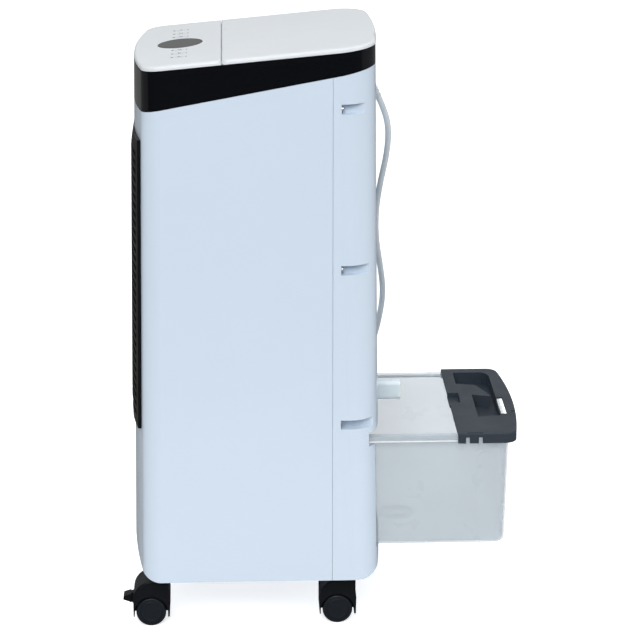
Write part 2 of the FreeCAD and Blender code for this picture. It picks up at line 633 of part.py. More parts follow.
def pad_frame():
    outer = block("PadFrameOuter", ("2 * pad_half + 12", "pad_thick + 6", "pad_high - pad_low + 8"),
                  ("-pad_half - 6", "pad_front - 3", "pad_low - 6"))
    pocket = block("PadPocket", ("2 * pad_half", "pad_thick", "pad_high - pad_low + 20"), ("-pad_half", "pad_front", "pad_low"))
    window = block("PadWindow", ("2 * pad_half - 8", 80, "pad_high - pad_low + 20"),
                   ("-pad_half + 4", "pad_front - 30", "pad_low + 4"))
    drains = [rod(f"PadDrain{i}", 3, 40, (36 * (i - 2), "pad_front + pad_thick / 2", "pad_low - 20")) for i in range(5)]
    return keep(cut("PadFrame", outer, [pocket, window, *drains]), "pad_frame")


def water_distributor():
    tray = block("DripTrayOuter", ("2 * pad_half - 2", "pad_thick - 1", 14), ("-pad_half + 1", "pad_front + 0.5", "pad_high + 4"))
    hollow = block("DripTrayInner", ("2 * pad_half - 6", "pad_thick - 5", 20), ("-pad_half + 3", "pad_front + 2.5", "pad_high + 6"))
    drips = [rod(f"DripHole{i}", 1.2, 10, (15 * (i - 5.5), "pad_front + pad_thick / 2", "pad_high")) for i in range(12)]
    return keep(cut("WaterDistributor", tray, [hollow, *drips]), "water_distributor")


def feed_pipe():
    """Riser from the tank bay's roof to the distributor."""
    riser = rod("FeedRiser", 4.5, "pad_high + 9 - bay_high - 8", (-107, 52, "bay_high + 8"))
    arm = rod("FeedArm", 4.5, 22, (-107, 52, "pad_high + 12.5"), "X")
    spout = rod("FeedSpout", 4.5, 14.2, (-85, 52, "pad_high + 12.5"), "Y")
    knees = [doc.addObject("Part::Sphere", f"FeedKnee{i}") for i in range(2)]
    for x, knee in zip((-107, -85), knees):
        bind(knee, (x, 52, "pad_high + 12.5"), None, Radius=4.5)
    top = rod("FeedRiserTop", 4.5, 3.5, (-107, 52, "pad_high + 9"))
    return keep(join("FeedPipe", [riser, top, arm, spout, *knees]), "feed_pipe")


def intake_grille():
    half, low, high = S["intake_half"] - 0.3, S["intake_low"] + 0.3, S["intake_high"] - 0.3
    panel = shell(0.2, S["wall"] + 0.4).common(slab((-half, half), (100, REACH), (low, high)))
    gaps, z = [], low + 9
    while z + 5 < high - 8:
        gaps += [slab((x, x + 50), (100, REACH), (z, z + 5)) for x in (8 - half, -25, half - 58)]
        z += 9.2
    return keep(formed("IntakeGrille", panel.cut(Part.makeCompound(gaps))), "intake_grille")


def dust_filter():
    """Washable filter: a frame with a thin mesh sheet."""
    outer = block("FilterOuter", ("2 * intake_half - 6", 4, "intake_high - intake_low - 6"),
                  ("3 - intake_half", 126, "intake_low + 3"))
    inner = block("FilterInner", ("2 * intake_half - 18", 9, "intake_high - intake_low - 18"),
                  ("9 - intake_half", 123, "intake_low + 9"))
    mesh = block("FilterMesh", ("2 * intake_half - 17", 1, "intake_high - intake_low - 17"),
                 ("8.5 - intake_half", 127.5, "intake_low + 8.5"))
    bars = [block(f"FilterBar{i}", ("2 * intake_half - 17", 4, 3), ("8.5 - intake_half", 126, f"intake_low + {74 * (i + 1)}"))
            for i in range(3)]
    return keep(join("DustFilter", [cut("FilterFrame", outer, [inner]), mesh, *bars]), "dust_filter")


# ---------------------------------------------------------------- tank
def round_box(half, front, rear, height, corner):
    points = [(half, front), (half, rear), (-half, rear), (-half, front)]
    wire = Part.makePolygon([Vector(x, y, height) for x, y in [*points, points[0]]])
    face = Part.Face(wire)
    solid = face.extrude(Vector(0, 0, 1))
    upright = [e for e in solid.Edges if abs(e.Vertexes[0].Z - e.Vertexes[-1].Z) > 0.5]
    rounded = solid.makeFillet(corner, upright)
    base = [f for f in rounded.Faces if abs(f.CenterOfMass.z - height) < 1e-6]
    return base[0].OuterWire


def side_panel():
    """Outline along X of the raised panel on the tank's sides: a round-headed rib over a wide foot."""
    front, rib_rear, foot_rear = 267.0, 288.0, 300.0
    foot, shoulder, crown = 128.0, 190.0, 213.0
    middle = (front + rib_rear) / 2

    def at(y, z):
        return Vector(-REACH, y, z)

    edges = [
        Part.LineSegment(at(front, foot), at(front, crown)),
        Part.Arc(at(front, crown), at(middle, crown + middle - front), at(rib_rear, crown)),
        Part.LineSegment(at(rib_rear, crown), at(rib_rear, shoulder + 10)),
        Part.LineSegment(at(rib_rear, shoulder + 10), at(foot_rear, shoulder)),
        Part.LineSegment(at(foot_rear, shoulder), at(foot_rear, foot)),
        Part.LineSegment(at(foot_rear, foot), at(front, foot)),
    ]
    face = Part.Face(Part.Wire([edge.toShape() for edge in edges]))
    return face.extrude(Vector(2 * REACH, 0, 0))


def tank_body():
    low, high, wall = S["tank_low"], S["tank_high"], S["tank_wall"]

    def tub(inset, floor, top):
        wires = [round_box(S["tank_foot"] - inset, S["tank_front"] + 4 + inset, S["tank_rear"] - 3 - inset, floor,
                           S["tank_corner"] - inset),
                 round_box(S["tank_half"] - inset, S["tank_front"] + inset, S["tank_rear"] - inset, top,
                           S["tank_corner"] - inset)]
        return Part.makeLoft(wires, True, True)

    outer = tub(0, low, high)
    foot = [e for e in outer.Edges if all(abs(v.Z - low) < 1e-6 for v in e.Vertexes)]
    outer = outer.makeFillet(6, foot)
    inner = tub(wall, low + wall, high + 1)
    foot = [e for e in inner.Edges if all(abs(v.Z - low - wall) < 1e-6 for v in e.Vertexes)]
    inner = inner.makeFillet(4, foot)
    panel = tub(-0.7, low, high).common(side_panel())
    rim = Part.Face(round_box(S["rim_half"], S["tank_front"] - S["flange"], S["tank_rear"] + S["flange"],
                              high - 2.2, S["tank_corner"] + 2)).extrude(Vector(0, 0, 2.2))
    skirt_out = Part.Face(round_box(S["rim_half"], S["tank_front"] - S["flange"],
                                    S["tank_rear"] + S["flange"], high - 6, S["tank_corner"] + 2))
    skirt_in = Part.Face(round_box(S["rim_half"] - 1.4, S["tank_front"] - 1.2, S["tank_rear"] + 1.2, high - 6,
                                   S["tank_corner"] + 1))
    skirt = skirt_out.cut(skirt_in).extrude(Vector(0, 0, 5))
    grip_notch = slab((-50, 54), (S["tank_rear"], REACH), (high - 8, high + 1))
    flange = rim.fuse(skirt).cut(grip_notch)
    return keep(formed("TankBody", outer.fuse(panel).fuse(flange).cut(inner)), "tank_body")


def tank_cover():
    """Dark cover over the tank's rear end, with a grip pocket, a second pocket and clip slots."""
    half, front, rear, top = S["cover_half"], S["cover_front"], S["cover_rear"], S["cover_top"]
    low = top - S["cover_skirt"]

    def plan(inset, z):
        return outline(half - inset, front - 60 + inset, rear - inset, 5, 15 - inset, z, 4000, 760 - inset)

    bevel = 1.2
    keep_rear = slab((-REACH, REACH), (front, REACH), (0, 400))
    skirt = Part.Face(plan(0, low)).extrude(Vector(0, 0, S["cover_skirt"] - bevel))
    crown = Part.makeLoft([plan(0, top - bevel), plan(bevel, top)], True, True)
    body = skirt.fuse(crown).common(keep_rear)
    keep_inner = slab((-REACH, REACH), (front + 1.8, REACH), (0, 400))
    hollow = Part.Face(plan(1.4, low - 1)).extrude(Vector(0, 0, S["cover_skirt"] - 1)).common(keep_inner)
    seat = slab((-S["rim_half"] - 1.4, S["rim_half"] + 1.4), (front - 5, front + 3), (low - 5, S["tank_high"] + 0.1))
    shape = body.cut(hollow).cut(seat)

    def pocket(points, depth, wall=1.4):
        """A sunk tray: walls and a floor hung under the cover's top."""
        face = Part.Face(Part.makePolygon([Vector(x, y, top + 5) for x, y in [*points, points[0]]]))
        inside = face.extrude(Vector(0, 0, -5 - depth))
        grown = face.OuterWire.makeOffset2D(wall)
        outside = Part.Face(grown).extrude(Vector(0, 0, -5 - depth - wall))
        outside = outside.common(slab((-REACH, REACH), (front, REACH), (0, top - 1)))
        return outside, inside

    grip = pocket([(-19, 272), (60, 272), (56, 301), (-10, 301)], 15)
    store = pocket([(-101.8, 256), (-60, 256), (-54, 280), (-24, 292), (-8, 296), (-8, 301), (-88, 301),
                    (-96.5, 298), (-101.8, 292.5)], 15)
    notch = slab((-26, 9), (front - 1, front + 13.5), (top - 5.4, top + 5))
    notch_tray = slab((-27.4, 10.4), (front, front + 14.9), (top - 6.8, top - 1))
    shape = shape.fuse(grip[0]).fuse(store[0]).fuse(notch_tray)
    shape = shape.cut(grip[1]).cut(store[1]).cut(notch)
    slits = [
        slab((-8, 50), (299, 308.5), (S["tank_high"] + 0.1, top + 2)),
        slab((-8, 50), (302.3, 308.5), (low - 9, top + 2)),
        slab((-98, -82), (268, 272), (low - 9, top + 2)),
        *[slab((x, x + 4), (rear - 7, rear + 5), (top - 3.2, top + 2)) for x in (-77, 40)],
    ]
    for side in (-1, 1):
        for y in (251.5, 267.0):
            x = sorted((side * (half - 4), side * (half + 4)))
            slits.append(slab(x, (y, y + 4.6), (low - 2, low + 7.6)))
        x = sorted((side * (half - 3.4), side * (half - 1.2)))
        slits.append(slab(x, (253, 272), (top - 1.2, top + 2)))
    for slit in slits:
        shape = shape.cut(slit)
    return keep(formed("TankCover", shape), "tank_cover")


def tank_latch():
    """Turn latch above the tank bay; half a turn brings its long end down behind the cover."""
    wide = S["latch_wide"]
    z = S["latch_height"]
    end = 180.6
    tab = slab((-wide / 2, wide / 2), (151.6, end), (z - 8, z + 15))
    long_edges = [e for e in tab.Edges if abs(e.Vertexes[0].Y - e.Vertexes[-1].Y) > 1]
    tab = tab.makeFillet(4.5, long_edges)
    tab = tab.makeFillet(1.2, [e for e in tab.Edges if all(abs(v.Y - end) < 1e-6 for v in e.Vertexes)])
    neck = Part.makeCylinder(4.0, 16, Vector(0, 138, z), Vector(0, 1, 0))
    stop = Part.makeCylinder(6.5, 3, Vector(0, 140, z), Vector(0, 1, 0))
    return keep(formed("TankLatch", fused([tab, neck, stop])), "tank_latch")


def water_pump():
    """Small immersion pump on the tank's floor, with its suction feet and outlet."""
    floor = "tank_low + tank_wall"
    can = block("PumpCan", (44, 34, 30), (-32, 74, floor + " + 3"))
    feet = [rod(f"PumpFoot{i}", 5, 3, (-24 if i % 2 else 4, 81 if i < 2 else 101, floor)) for i in range(4)]
    outlet = rod("PumpOutlet", 5, 8, (-10, 91, floor + " + 33"))
    grating = [block(f"PumpGrating{i}", (2, 6, 18), (-26 + 6 * i, 104, floor + " + 9")) for i in range(6)]
    return keep(cut("WaterPump", join("PumpRaw", [can, outlet, *feet]), grating), "water_pump")


def pump_hose():
    """Hose from the pump's outlet up and forward to the tank's front rim, where it docks."""
    base = Vector(-10, 91, S["tank_low"] + S["tank_wall"] + 41)
    return keep(formed("PumpHose", tube([base, base + Vector(0, 0, 28), base + Vector(0, -4, 56),
                                         base + Vector(0, -17, 86)], 4.5)), "pump_hose")


# ---------------------------------------------------------------- tubes and the mains lead
def tube(points, radius, report=None):
    """A round tube on straight runs joined by arcs as large as the runs allow."""
    edges, start = [], points[0]
    for before, here, after in zip(points, points[1:], points[2:]):
        back, on = (before - here), (after - here)
        turn = math.pi - back.getAngle(on)
        reach = 0.45 * min(back.Length, on.Length)
        bend = reach / math.tan(turn / 2)
        if report is not None:
            report.append(bend)
        first, last = here + back.normalize() * reach, here + on.normalize() * reach
        middle_way = (back + on).normalize()
        middle = here + middle_way * (math.hypot(bend, reach) - bend)
        edges += [Part.LineSegment(start, first).toShape(), Part.Arc(first, middle, last).toShape()]
        start = last
    edges.append(Part.LineSegment(start, points[-1]).toShape())
    path = Part.Wire(edges)
    way = points[1] - points[0]
    ring = Part.Wire(Part.makeCircle(radius, points[0], way))
    return path.makePipeShell([ring], True, False)


def gland_ends():
    tilt = math.radians(S["gland_tilt"])
    down = Vector(0, math.sin(tilt), -math.cos(tilt))
    start = Vector(S["gland_x"], S["gland_y"], S["gland_z"])
    return start, start + down * S["gland_long"], down


def cord_gland():
    start, _, down = gland_ends()
    inside = 6
    cone = Part.makeCone(6.5, 4.4, S["gland_long"] + inside, start - down * inside, down)
    collar = Part.makeCylinder(7.8, 3, start - down * (inside + 3), down)
    return keep(formed("CordGland", cone.fuse(collar)), "cord_gland")


# Route of the lead from its gland to its coil: points set by hand, millimetres.
CORD_ROUTE = [
    (-24.5, 160.2, 614.0), (-28.0, 165.6, 589.0), (-34.5, 163.6, 557.0), (-46.0, 157.4, 522.0),
    (-60.0, 152.6, 482.0), (-74.0, 153.6, 440.0), (-87.0, 160.6, 400.0), (-99.0, 165.6, 362.0),
    (-112.0, 161.5, 322.0), (-126.0, 152.5, 280.0), (-139.0, 143.0, 236.0), (-147.0, 135.0, 192.0),
    (-151.0, 129.0, 146.0), (-155.5, 121.5, 104.0), (-161.0, 111.5, 68.0), (-168.0, 98.0, 38.5),
    (-175.5, 81.0, 17.5), (-182.0, 62.5, 7.0),
]


def coil_entry():
    """Where the lead meets its coil, on the side nearest the object."""
    angle, radius = math.radians(-20), S["coil_radius"] + 4
    return Vector(S["coil_x"] + radius * math.cos(angle), S["coil_y"] + radius * math.sin(angle), 4.6)


def power_cord():
    _, end, _ = gland_ends()
    points = [end, *[Vector(*p) for p in CORD_ROUTE], coil_entry()]
    radii = []
    shape = tube(points, S["cord"] / 2, radii)
    print("cord bend radii:", " ".join(f"{r:.0f}" for r in radii))
    runs = [(b - a).Length for a, b in zip(points, points[1:])]
    print("cord runs:", " ".join(f"{r:.0f}" for r in runs))
    length = shape.Volume / (math.pi * S["cord"] ** 2 / 4)
    print(f"cord tube length by volume {length:.1f}, straight runs {sum(runs):.1f}")
    return keep(formed("PowerCord", shape), "power_cord")


COIL_LOW, COIL_HIGH, COIL_HALF = 1.2, 18.2, 8.2


def cord_coil():
    """Outer shape of the wound lead: a low ring on the floor."""
    r = S["coil_radius"]
    near, far = r - COIL_HALF, r + COIL_HALF
    corners = [(near, COIL_LOW), (far, COIL_LOW), (far, COIL_HIGH), (near, COIL_HIGH), (near, COIL_LOW)]
    face = Part.Face(Part.makePolygon([Vector(x, 0, z) for x, z in corners]))
    ring = face.revolve(Vector(), Vector(0, 0, 1), 360)
    ring = ring.makeFillet(4, [e for e in ring.Edges if e.Closed])
    return keep(formed("CordCoil", ring.translated(Vector(S["coil_x"], S["coil_y"], 0))), "cord_coil")


def cord_tie():
    """Wire tie round the coil's bundle."""
    across = 2 * COIL_HALF + 2
    band = Part.makeBox(across, 5, COIL_HIGH + 0.9, Vector(S["coil_radius"] - across / 2, -2.5, 0))
    hole = Part.makeBox(across - 2, 9, COIL_HIGH - COIL_LOW + 0.2, Vector(S["coil_radius"] - across / 2 + 1, -4.5, COIL_LOW - 0.1))
    tie = band.cut(hole)
    tie.rotate(Vector(), Vector(0, 0, 1), 125)
    return keep(formed("CordTie", tie.translated(Vector(S["coil_x"], S["coil_y"], 0))), "cord_tie")


PLUG_ANGLE = 180.0  # where the lead leaves the coil, about the coil's middle


def plug_place():
    """Local X runs from the lead towards the pins, along the coil's tangent."""
    angle = math.radians(PLUG_ANGLE)
    radius = S["coil_radius"] + 2
    spot = Vector(S["coil_x"] + radius * math.cos(angle), S["coil_y"] + radius * math.sin(angle), 7.2)
    return Placement(spot, Rotation(Vector(0, 0, 1), PLUG_ANGLE - 90))


def plug_body():
    neck = Part.makeCone(4.6, 6.6, 20, Vector(22, 0, 0), Vector(1, 0, 0))
    grip = Part.makeBox(26, 27, 14, Vector(41, -13.5, -7))
    grip = grip.makeFillet(5.5, [e for e in grip.Edges if abs(e.Vertexes[0].X - e.Vertexes[-1].X) > 1])
    piece = formed("PlugBody", neck.fuse(grip))
    piece.Placement = plug_place()
    return keep(piece, "plug_body")


def plug_pins():
    """Two round pins, 4 mm across and 19 mm long, 18.6 mm apart."""
    pins = [Part.makeCylinder(2.0, 19, Vector(67, y, 0), Vector(1, 0, 0)) for y in (-9.3, 9.3)]
    piece = formed("PlugPins", Part.makeCompound(pins))
    piece.Placement = plug_place()
    return keep(piece, "plug_pins")


# ---------------------------------------------------------------- casters
# Side, row, brake, and how far the caster is swivelled from trailing towards the front.
CASTERS = {
    "front_left": (-1, "caster_front", True, 180), "front_right": (1, "caster_front", True, 0),
    "rear_left": (-1, "caster_rear", False, 0), "rear_right": (1, "caster_rear", False, 0),
}
PEDAL_PIVOT = (-17.5, 17.5)  # from the axle, along Y and Z


def hood_shape(braked):
    """Hood over the twin wheels about its axle; local Y is the way the caster trails, reversed."""
    r = S["wheel_radius"]
    top = S["hood_top"] - r
    back = S["trail"] + 8.2
    side = math.sqrt(0.5)
    round_r = 24.0

    def at(y, z):
        return Vector(-S["hood_half"], y, z)

    nose, crown = -21.8, top
    centre = (nose + round_r, crown - round_r)
    profile = Part.Wire([e.toShape() for e in [
        Part.LineSegment(at(nose, -5.5), at(nose, centre[1])),
        Part.Arc(at(nose, centre[1]), at(centre[0] - round_r * side, centre[1] + round_r * side), at(centre[0], crown)),
        Part.LineSegment(at(centre[0], crown), at(back - 1.5, crown)),
        Part.LineSegment(at(back - 1.5, crown), at(back - 1.5, 26)),
        Part.LineSegment(at(back - 1.5, 26), at(back - 0.4, 16)),
        Part.LineSegment(at(back - 0.4, 16), at(back - 1.0, -5.5)),
        Part.LineSegment(at(back - 1.0, -5.5), at(nose, -5.5)),
    ]])
    solid = Part.Face(profile).extrude(Vector(2 * S["hood_half"], 0, 0))
    edges = [e for e in solid.Edges if all(abs(abs(v.X) - S["hood_half"]) < 1e-6 for v in e.Vertexes)
             and e.CenterOfMass.z > centre[1] - 2 and e.CenterOfMass.y < S["trail"] + 6]
    solid = solid.makeFillet(2.0, edges)
    arch = Part.makeCylinder(r + 2.2, 40, Vector(S["web_half"], 0, 0), Vector(1, 0, 0))
    below = slab((S["web_half"], 60), (-r - 2.2, r + 2.2), (-30, 0))
    wells = fused([arch, below])
    solid = solid.cut(wells).cut(mirrored(wells))
    web_trim = slab((-10, 10), (-40, 40), (-30, -6.5))
    axle_bore = Part.makeCylinder(2.5 + S["run_clear"], 60, Vector(-30, 0, 0), Vector(1, 0, 0))
    stem_bore = Part.makeCylinder(S["stem_radius"] + S["run_clear"], 40, Vector(0, S["trail"], top - 17))
    cup = Part.makeCylinder(11.2, 8, Vector(0, S["trail"], top - 4.2))
    solid = solid.cut(web_trim).cut(axle_bore).cut(stem_bore).cut(cup)
    if braked:
        y, z = PEDAL_PIVOT
        slot = slab((-5.1, 5.1), (-40, y + 6), (z - 16, z + 7))
        pin = Part.makeCylinder(1.5 + S["run_clear"], 18.2, Vector(-9.1, y, z), Vector(1, 0, 0))
        solid = solid.cut(slot).cut(pin)
    return solid


def wheels_shape():
    """Twin wheels pressed on one axle, dished on the outside."""
    r, w = S["wheel_radius"], S["wheel_wide"]
    x0 = S["web_half"] + 1.6
    wheel = Part.makeCylinder(r, w, Vector(x0, 0, 0), Vector(1, 0, 0))
    wheel = wheel.makeFillet(2.2, [e for e in wheel.Edges if e.Closed])
    dish = Part.makeCylinder(r - 4.5, 1.0, Vector(x0 + w - 1.0, 0, 0), Vector(1, 0, 0))
    hub = Part.makeCone(6, 5, 1.0, Vector(x0 + w - 1.0, 0, 0), Vector(1, 0, 0))
    wheel = wheel.cut(dish).fuse(hub)
    axle = Part.makeCylinder(2.5, 2 * x0 + 8, Vector(-x0 - 4, 0, 0), Vector(1, 0, 0))
    return fused([wheel, mirrored(wheel), axle])


def pedal_shape():
    """Brake lever: a tapered toe tab on a cross pin."""
    y, z = PEDAL_PIVOT
    points = [(y + 3.5, z + 3.5), (-22.5, z + 2.0), (-33.8, z - 1.2), (-34.6, z - 6.0), (-27.0, z - 8.6),
              (-22.5, z - 12.0), (-20.5, z - 12.5), (y + 3.5, z - 5.0)]
    wire = Part.makePolygon([Vector(-4.5, a, b) for a, b in [*points, points[0]]])
    tab = Part.Face(wire).extrude(Vector(9, 0, 0))
    toe = side_prism([(-40, z - 14), (-24.8, z - 14), (-24.8, z + 6), (-40, z + 6)])
    wide = Part.Face(wire).extrude(Vector(15, 0, 0)).translated(Vector(-3, 0, 0)).common(toe)
    pin = Part.makeCylinder(1.5, 17.6, Vector(-8.8, y, z), Vector(1, 0, 0))
    return fused([tab, wide, pin])


def casters():
    stems, collars = [], []
    for label, (side, row, braked, swivel) in CASTERS.items():
        x, y = side * S["caster_x"], S[row]
        name = "".join(word.title() for word in label.split("_"))

        def placed(shape):
            moved = shape.translated(Vector(x, y - S["trail"], S["wheel_radius"]))
            moved.rotate(Vector(x, y, 0), Vector(0, 0, 1), swivel)
            return moved

        keep(formed(name + "Hood", placed(hood_shape(braked))), label + "_caster_hood")
        keep(formed(name + "Wheels", placed(wheels_shape())), label + "_caster_wheels")
        if braked:
            keep(formed(name + "Pedal", placed(pedal_shape())), label + "_brake_pedal")
        low = S["hood_top"] - 16
        pin = rod(f"{name}StemPin", "stem_radius", 95 - low, (x, y, low))
        ring = rod(f"{name}StemRing", 9.5, 1.6, (x, y, "hood_top - 3.6"))
        stems += [join(f"{name}Stem", [pin, ring])]
        cap = rod(f"{name}CollarCap", 11.5, "bottom - hood_top - 1.6", (x, y, "hood_top + 1.6"))
        bore = rod(f"{name}CollarBore", "stem_radius", 20, (x, y, 50))
        collars.append(cut(f"{name}Collar", cap, [bore]))
    keep(join("CasterStems", stems), "caster_stems")
    keep(join("CasterCollars", collars), "caster_collars")


# ---------------------------------------------------------------- build, check and write
BUILDERS = [
    front_housing, rear_housing, housing_screws, head_band, base_tray, control_panel, top_lid, lid_hinge_pins,
    fill_well, display_window, keys, control_board, power_board, outlet_grille, blower_housing, swing_vanes,
    vane_link, swing_motor, blower_wheel, blower_motor, cooling_pad, pad_frame, water_distributor, feed_pipe,
    intake_grille, dust_filter, tank_body, tank_cover, tank_latch, water_pump, pump_hose, cord_gland, power_cord,
    cord_coil, cord_tie, plug_body, plug_pins, casters,
]
for build in BUILDERS:
    build()
doc.recompute()

failed = [o.Name for o in doc.Objects if {"Invalid", "Error"} & set(o.State)]
for piece in subparts:
    if piece.Shape.isNull() or not piece.Shape.isValid() or not piece.Shape.Solids:
        failed.append(piece.Label)
assert not failed, f"these objects failed: {failed}"
labels = [piece.Label for piece in subparts]
assert len(set(labels)) == len(labels) <= 60, f"{len(labels)} sub-parts"

os.makedirs("parts", exist_ok=True)
for piece in subparts:
    piece.Shape.exportStep(f"parts/{piece.Label}.step")
    print(f"{piece.Label}: {len(piece.Shape.Solids)} solid(s), {piece.Shape.Volume / 1000:.1f} cm3")
print(len(subparts), "sub-parts written")
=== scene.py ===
# %% [markdown]
# # A portable air cooler, dressed
# The cooler comes in as a finished mechanical model: casing, head, tank, fan, casters. This lesson
# gives it its looks. Most shapes are already right and only want a good finish, so those nodes keep
# their mesh and get a material. A few want more than a machine drawing holds: the mains lead with its
# plug, bend relief and tie, the printed marks, the wheel caps, the paper pad, and the rings and the
# rolled edge of the tank. Those are modelled here.

import json
import math

import bpy
from mathutils import Matrix, Vector


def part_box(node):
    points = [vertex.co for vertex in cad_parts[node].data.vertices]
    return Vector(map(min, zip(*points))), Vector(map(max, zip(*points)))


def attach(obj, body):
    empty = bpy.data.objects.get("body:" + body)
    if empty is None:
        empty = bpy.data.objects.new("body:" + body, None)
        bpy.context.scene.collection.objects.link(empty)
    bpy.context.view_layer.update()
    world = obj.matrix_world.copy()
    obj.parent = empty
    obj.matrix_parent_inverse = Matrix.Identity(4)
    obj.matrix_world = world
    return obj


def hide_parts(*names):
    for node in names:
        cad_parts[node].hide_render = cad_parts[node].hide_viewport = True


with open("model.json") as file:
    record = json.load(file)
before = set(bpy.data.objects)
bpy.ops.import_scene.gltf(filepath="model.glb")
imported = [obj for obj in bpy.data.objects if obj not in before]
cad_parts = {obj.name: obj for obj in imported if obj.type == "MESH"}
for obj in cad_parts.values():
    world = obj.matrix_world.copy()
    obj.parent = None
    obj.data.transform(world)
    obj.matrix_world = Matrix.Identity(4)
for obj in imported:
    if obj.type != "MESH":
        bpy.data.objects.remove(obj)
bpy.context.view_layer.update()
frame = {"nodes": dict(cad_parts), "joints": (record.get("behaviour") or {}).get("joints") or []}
nodes = frame["nodes"]
joints = {joint["name"]: joint for joint in frame["joints"]}
MM = 0.001

# %% [markdown]
# ## The camera
# The cooler is seen from its right side, from a little above, through a long lens. A camera looks
# along its own -Z, so the viewing direction is written from two angles and turned into a rotation.

# %% Camera
VIEW_YAW = math.radians(2.24)
VIEW_PITCH = math.radians(18.05)
CAMERA_PLACE = (2.6976, -0.0281, 1.2412)
LENS_MM = 131.4
SENSOR_MM = 36.0

looking = Vector((
    -math.cos(VIEW_PITCH) * math.cos(VIEW_YAW),
    math.cos(VIEW_PITCH) * math.sin(VIEW_YAW),
    -math.sin(VIEW_PITCH),
))
camera_data = bpy.data.cameras.new("camera")
camera_data.lens = LENS_MM
camera_data.sensor_width = SENSOR_MM
camera = bpy.data.objects.new("camera", camera_data)
camera.location = CAMERA_PLACE
camera.rotation_euler = looking.to_track_quat("-Z", "Y").to_euler()
bpy.context.scene.collection.objects.link(camera)
bpy.context.scene.camera = camera
print("camera looks along", [round(value, 3) for value in looking])

# %% [markdown]
# ## Floor, sky and lamps
# A pale product shot: white all round, so that shadows stay faint. Black gloss shows whatever it
# mirrors, so the white floor stops in front of the cooler and the black band mirrors the dark part of
# the sky that lies below the horizon. Above it the sky is white, but dimmer behind the camera and on
# the grille's side. Sky and floor are both dimmer in a mirror than they are to the eye, as flags
# round a set make them. The eye itself sees plain white in every direction.

# %% Floor
def only(*objects):
    """Selects just these objects and makes the first one active."""
    bpy.ops.object.select_all(action="DESELECT")
    for obj in objects:
        obj.select_set(True)
    bpy.context.view_layer.objects.active = objects[0]


FLOOR_FRONT, FLOOR_FAR, FLOOR_WIDE = 0.95, -40.0, 60.0
bpy.ops.object.select_all(action="DESELECT")
bpy.ops.mesh.primitive_plane_add(size=1, location=((FLOOR_FRONT + FLOOR_FAR) / 2, 0, 0))
floor = bpy.context.object
floor.name = "studio_floor"
floor.scale = (FLOOR_FRONT - FLOOR_FAR, FLOOR_WIDE, 1)
bpy.ops.object.transform_apply(location=True, rotation=True, scale=True)
print("floor ends", FLOOR_FRONT, "m in front of the cooler's middle")

# %% Lamps
# name: place, target, side in metres, power in watts
LAMPS = {
    "lamp_key": ((2.6, -0.6, 2.3), (0, 0, 0.45), 1.5, 47),
    "lamp_high": ((1.7, -0.1, 1.5), (0, 0, 0.68), 0.8, 9),
    "lamp_rear": ((1.5, 2.5, 1.6), (0, 0.1, 0.4), 1.4, 10),
    "lamp_top": ((0.0, 0.2, 3.2), (0, 0, 0), 2.0, 5),
}


def softbox(name, place, target, size, power):
    """A square area lamp that looks at target."""
    lamp_data = bpy.data.lights.new(name, "AREA")
    lamp_data.shape = "SQUARE"
    lamp_data.size = size
    lamp_data.energy = power
    lamp = bpy.data.objects.new(name, lamp_data)
    lamp.location = place
    lamp.rotation_euler = (Vector(target) - Vector(place)).to_track_quat("-Z", "Y").to_euler()
    bpy.context.scene.collection.objects.link(lamp)


for name, settings in LAMPS.items():
    softbox(name, *settings)
print("lamps", len(LAMPS))

# %% Helpers for node trees
def ranged(tree, source, before, after, smooth=False):
    """Maps a value from one range to another and holds it between the second one's ends."""
    node = tree.nodes.new("ShaderNodeMapRange")
    if smooth:
        node.interpolation_type = "SMOOTHSTEP"
    node.inputs["From Min"].default_value, node.inputs["From Max"].default_value = before
    node.inputs["To Min"].default_value, node.inputs["To Max"].default_value = after
    tree.links.new(source, node.inputs["Value"])
    return node.outputs["Result"]


def combined(tree, operation, one, other):
    """Makes one value of two."""
    node = tree.nodes.new("ShaderNodeMath")
    node.operation = operation
    tree.links.new(one, node.inputs[0])
    tree.links.new(other, node.inputs[1])
    return node.outputs[0]


def mixed(tree, source, one, other):
    """Mixes two colours by a 0-1 value."""
    node = tree.nodes.new("ShaderNodeMix")
    node.data_type = "RGBA"
    node.inputs["A"].default_value = (*one, 1)
    node.inputs["B"].default_value = (*other, 1)
    tree.links.new(source, node.inputs["Factor"])
    return node.outputs["Result"]


# %% Sky
WHITE = (1.0, 1.0, 1.0, 1.0)
world = bpy.data.worlds.new("studio")
world.use_nodes = True
bpy.context.scene.world = world
tree = world.node_tree
sky = tree.nodes["Background"]
direction = tree.nodes.new("ShaderNodeTexCoord")
split = tree.nodes.new("ShaderNodeSeparateXYZ")
rays = tree.nodes.new("ShaderNodeLightPath")
tree.links.new(direction.outputs["Generated"], split.inputs[0])
dim_front = ranged(tree, split.outputs["X"], (0.1, 0.9), (1.0, 0.25), smooth=True)
dim_low = ranged(tree, split.outputs["Z"], (-0.12, -0.02), (0.06, 1.0))
dim_side = ranged(tree, split.outputs["Y"], (-0.95, -0.15), (0.45, 1.0))
dim_mirrored = ranged(tree, rays.outputs["Is Glossy Ray"], (0.0, 1.0), (1.0, 0.42))
level = combined(tree, "MULTIPLY", dim_front, dim_low)
level = combined(tree, "MULTIPLY", level, dim_side)
level = combined(tree, "MULTIPLY", level, dim_mirrored)
seen = combined(tree, "MAXIMUM", level, rays.outputs["Is Camera Ray"])
tree.links.new(seen, sky.inputs["Strength"])
sky.inputs["Color"].default_value = WHITE
bpy.context.scene.view_settings.view_transform = "Standard"
print("sky nodes", len(tree.nodes))

# %% [markdown]
# ## Finishes
# Moulded plastic is never one flat value. The tool leaves a fine texture, the wall sinks and
# ripples a little as it cools, and hands polish some patches. So every plastic here shares one
# recipe: a slow noise shifts the colour, another shifts the roughness, and a fine one drives bump.
# They read Object coordinates, so the pattern stays on the piece wherever it goes.

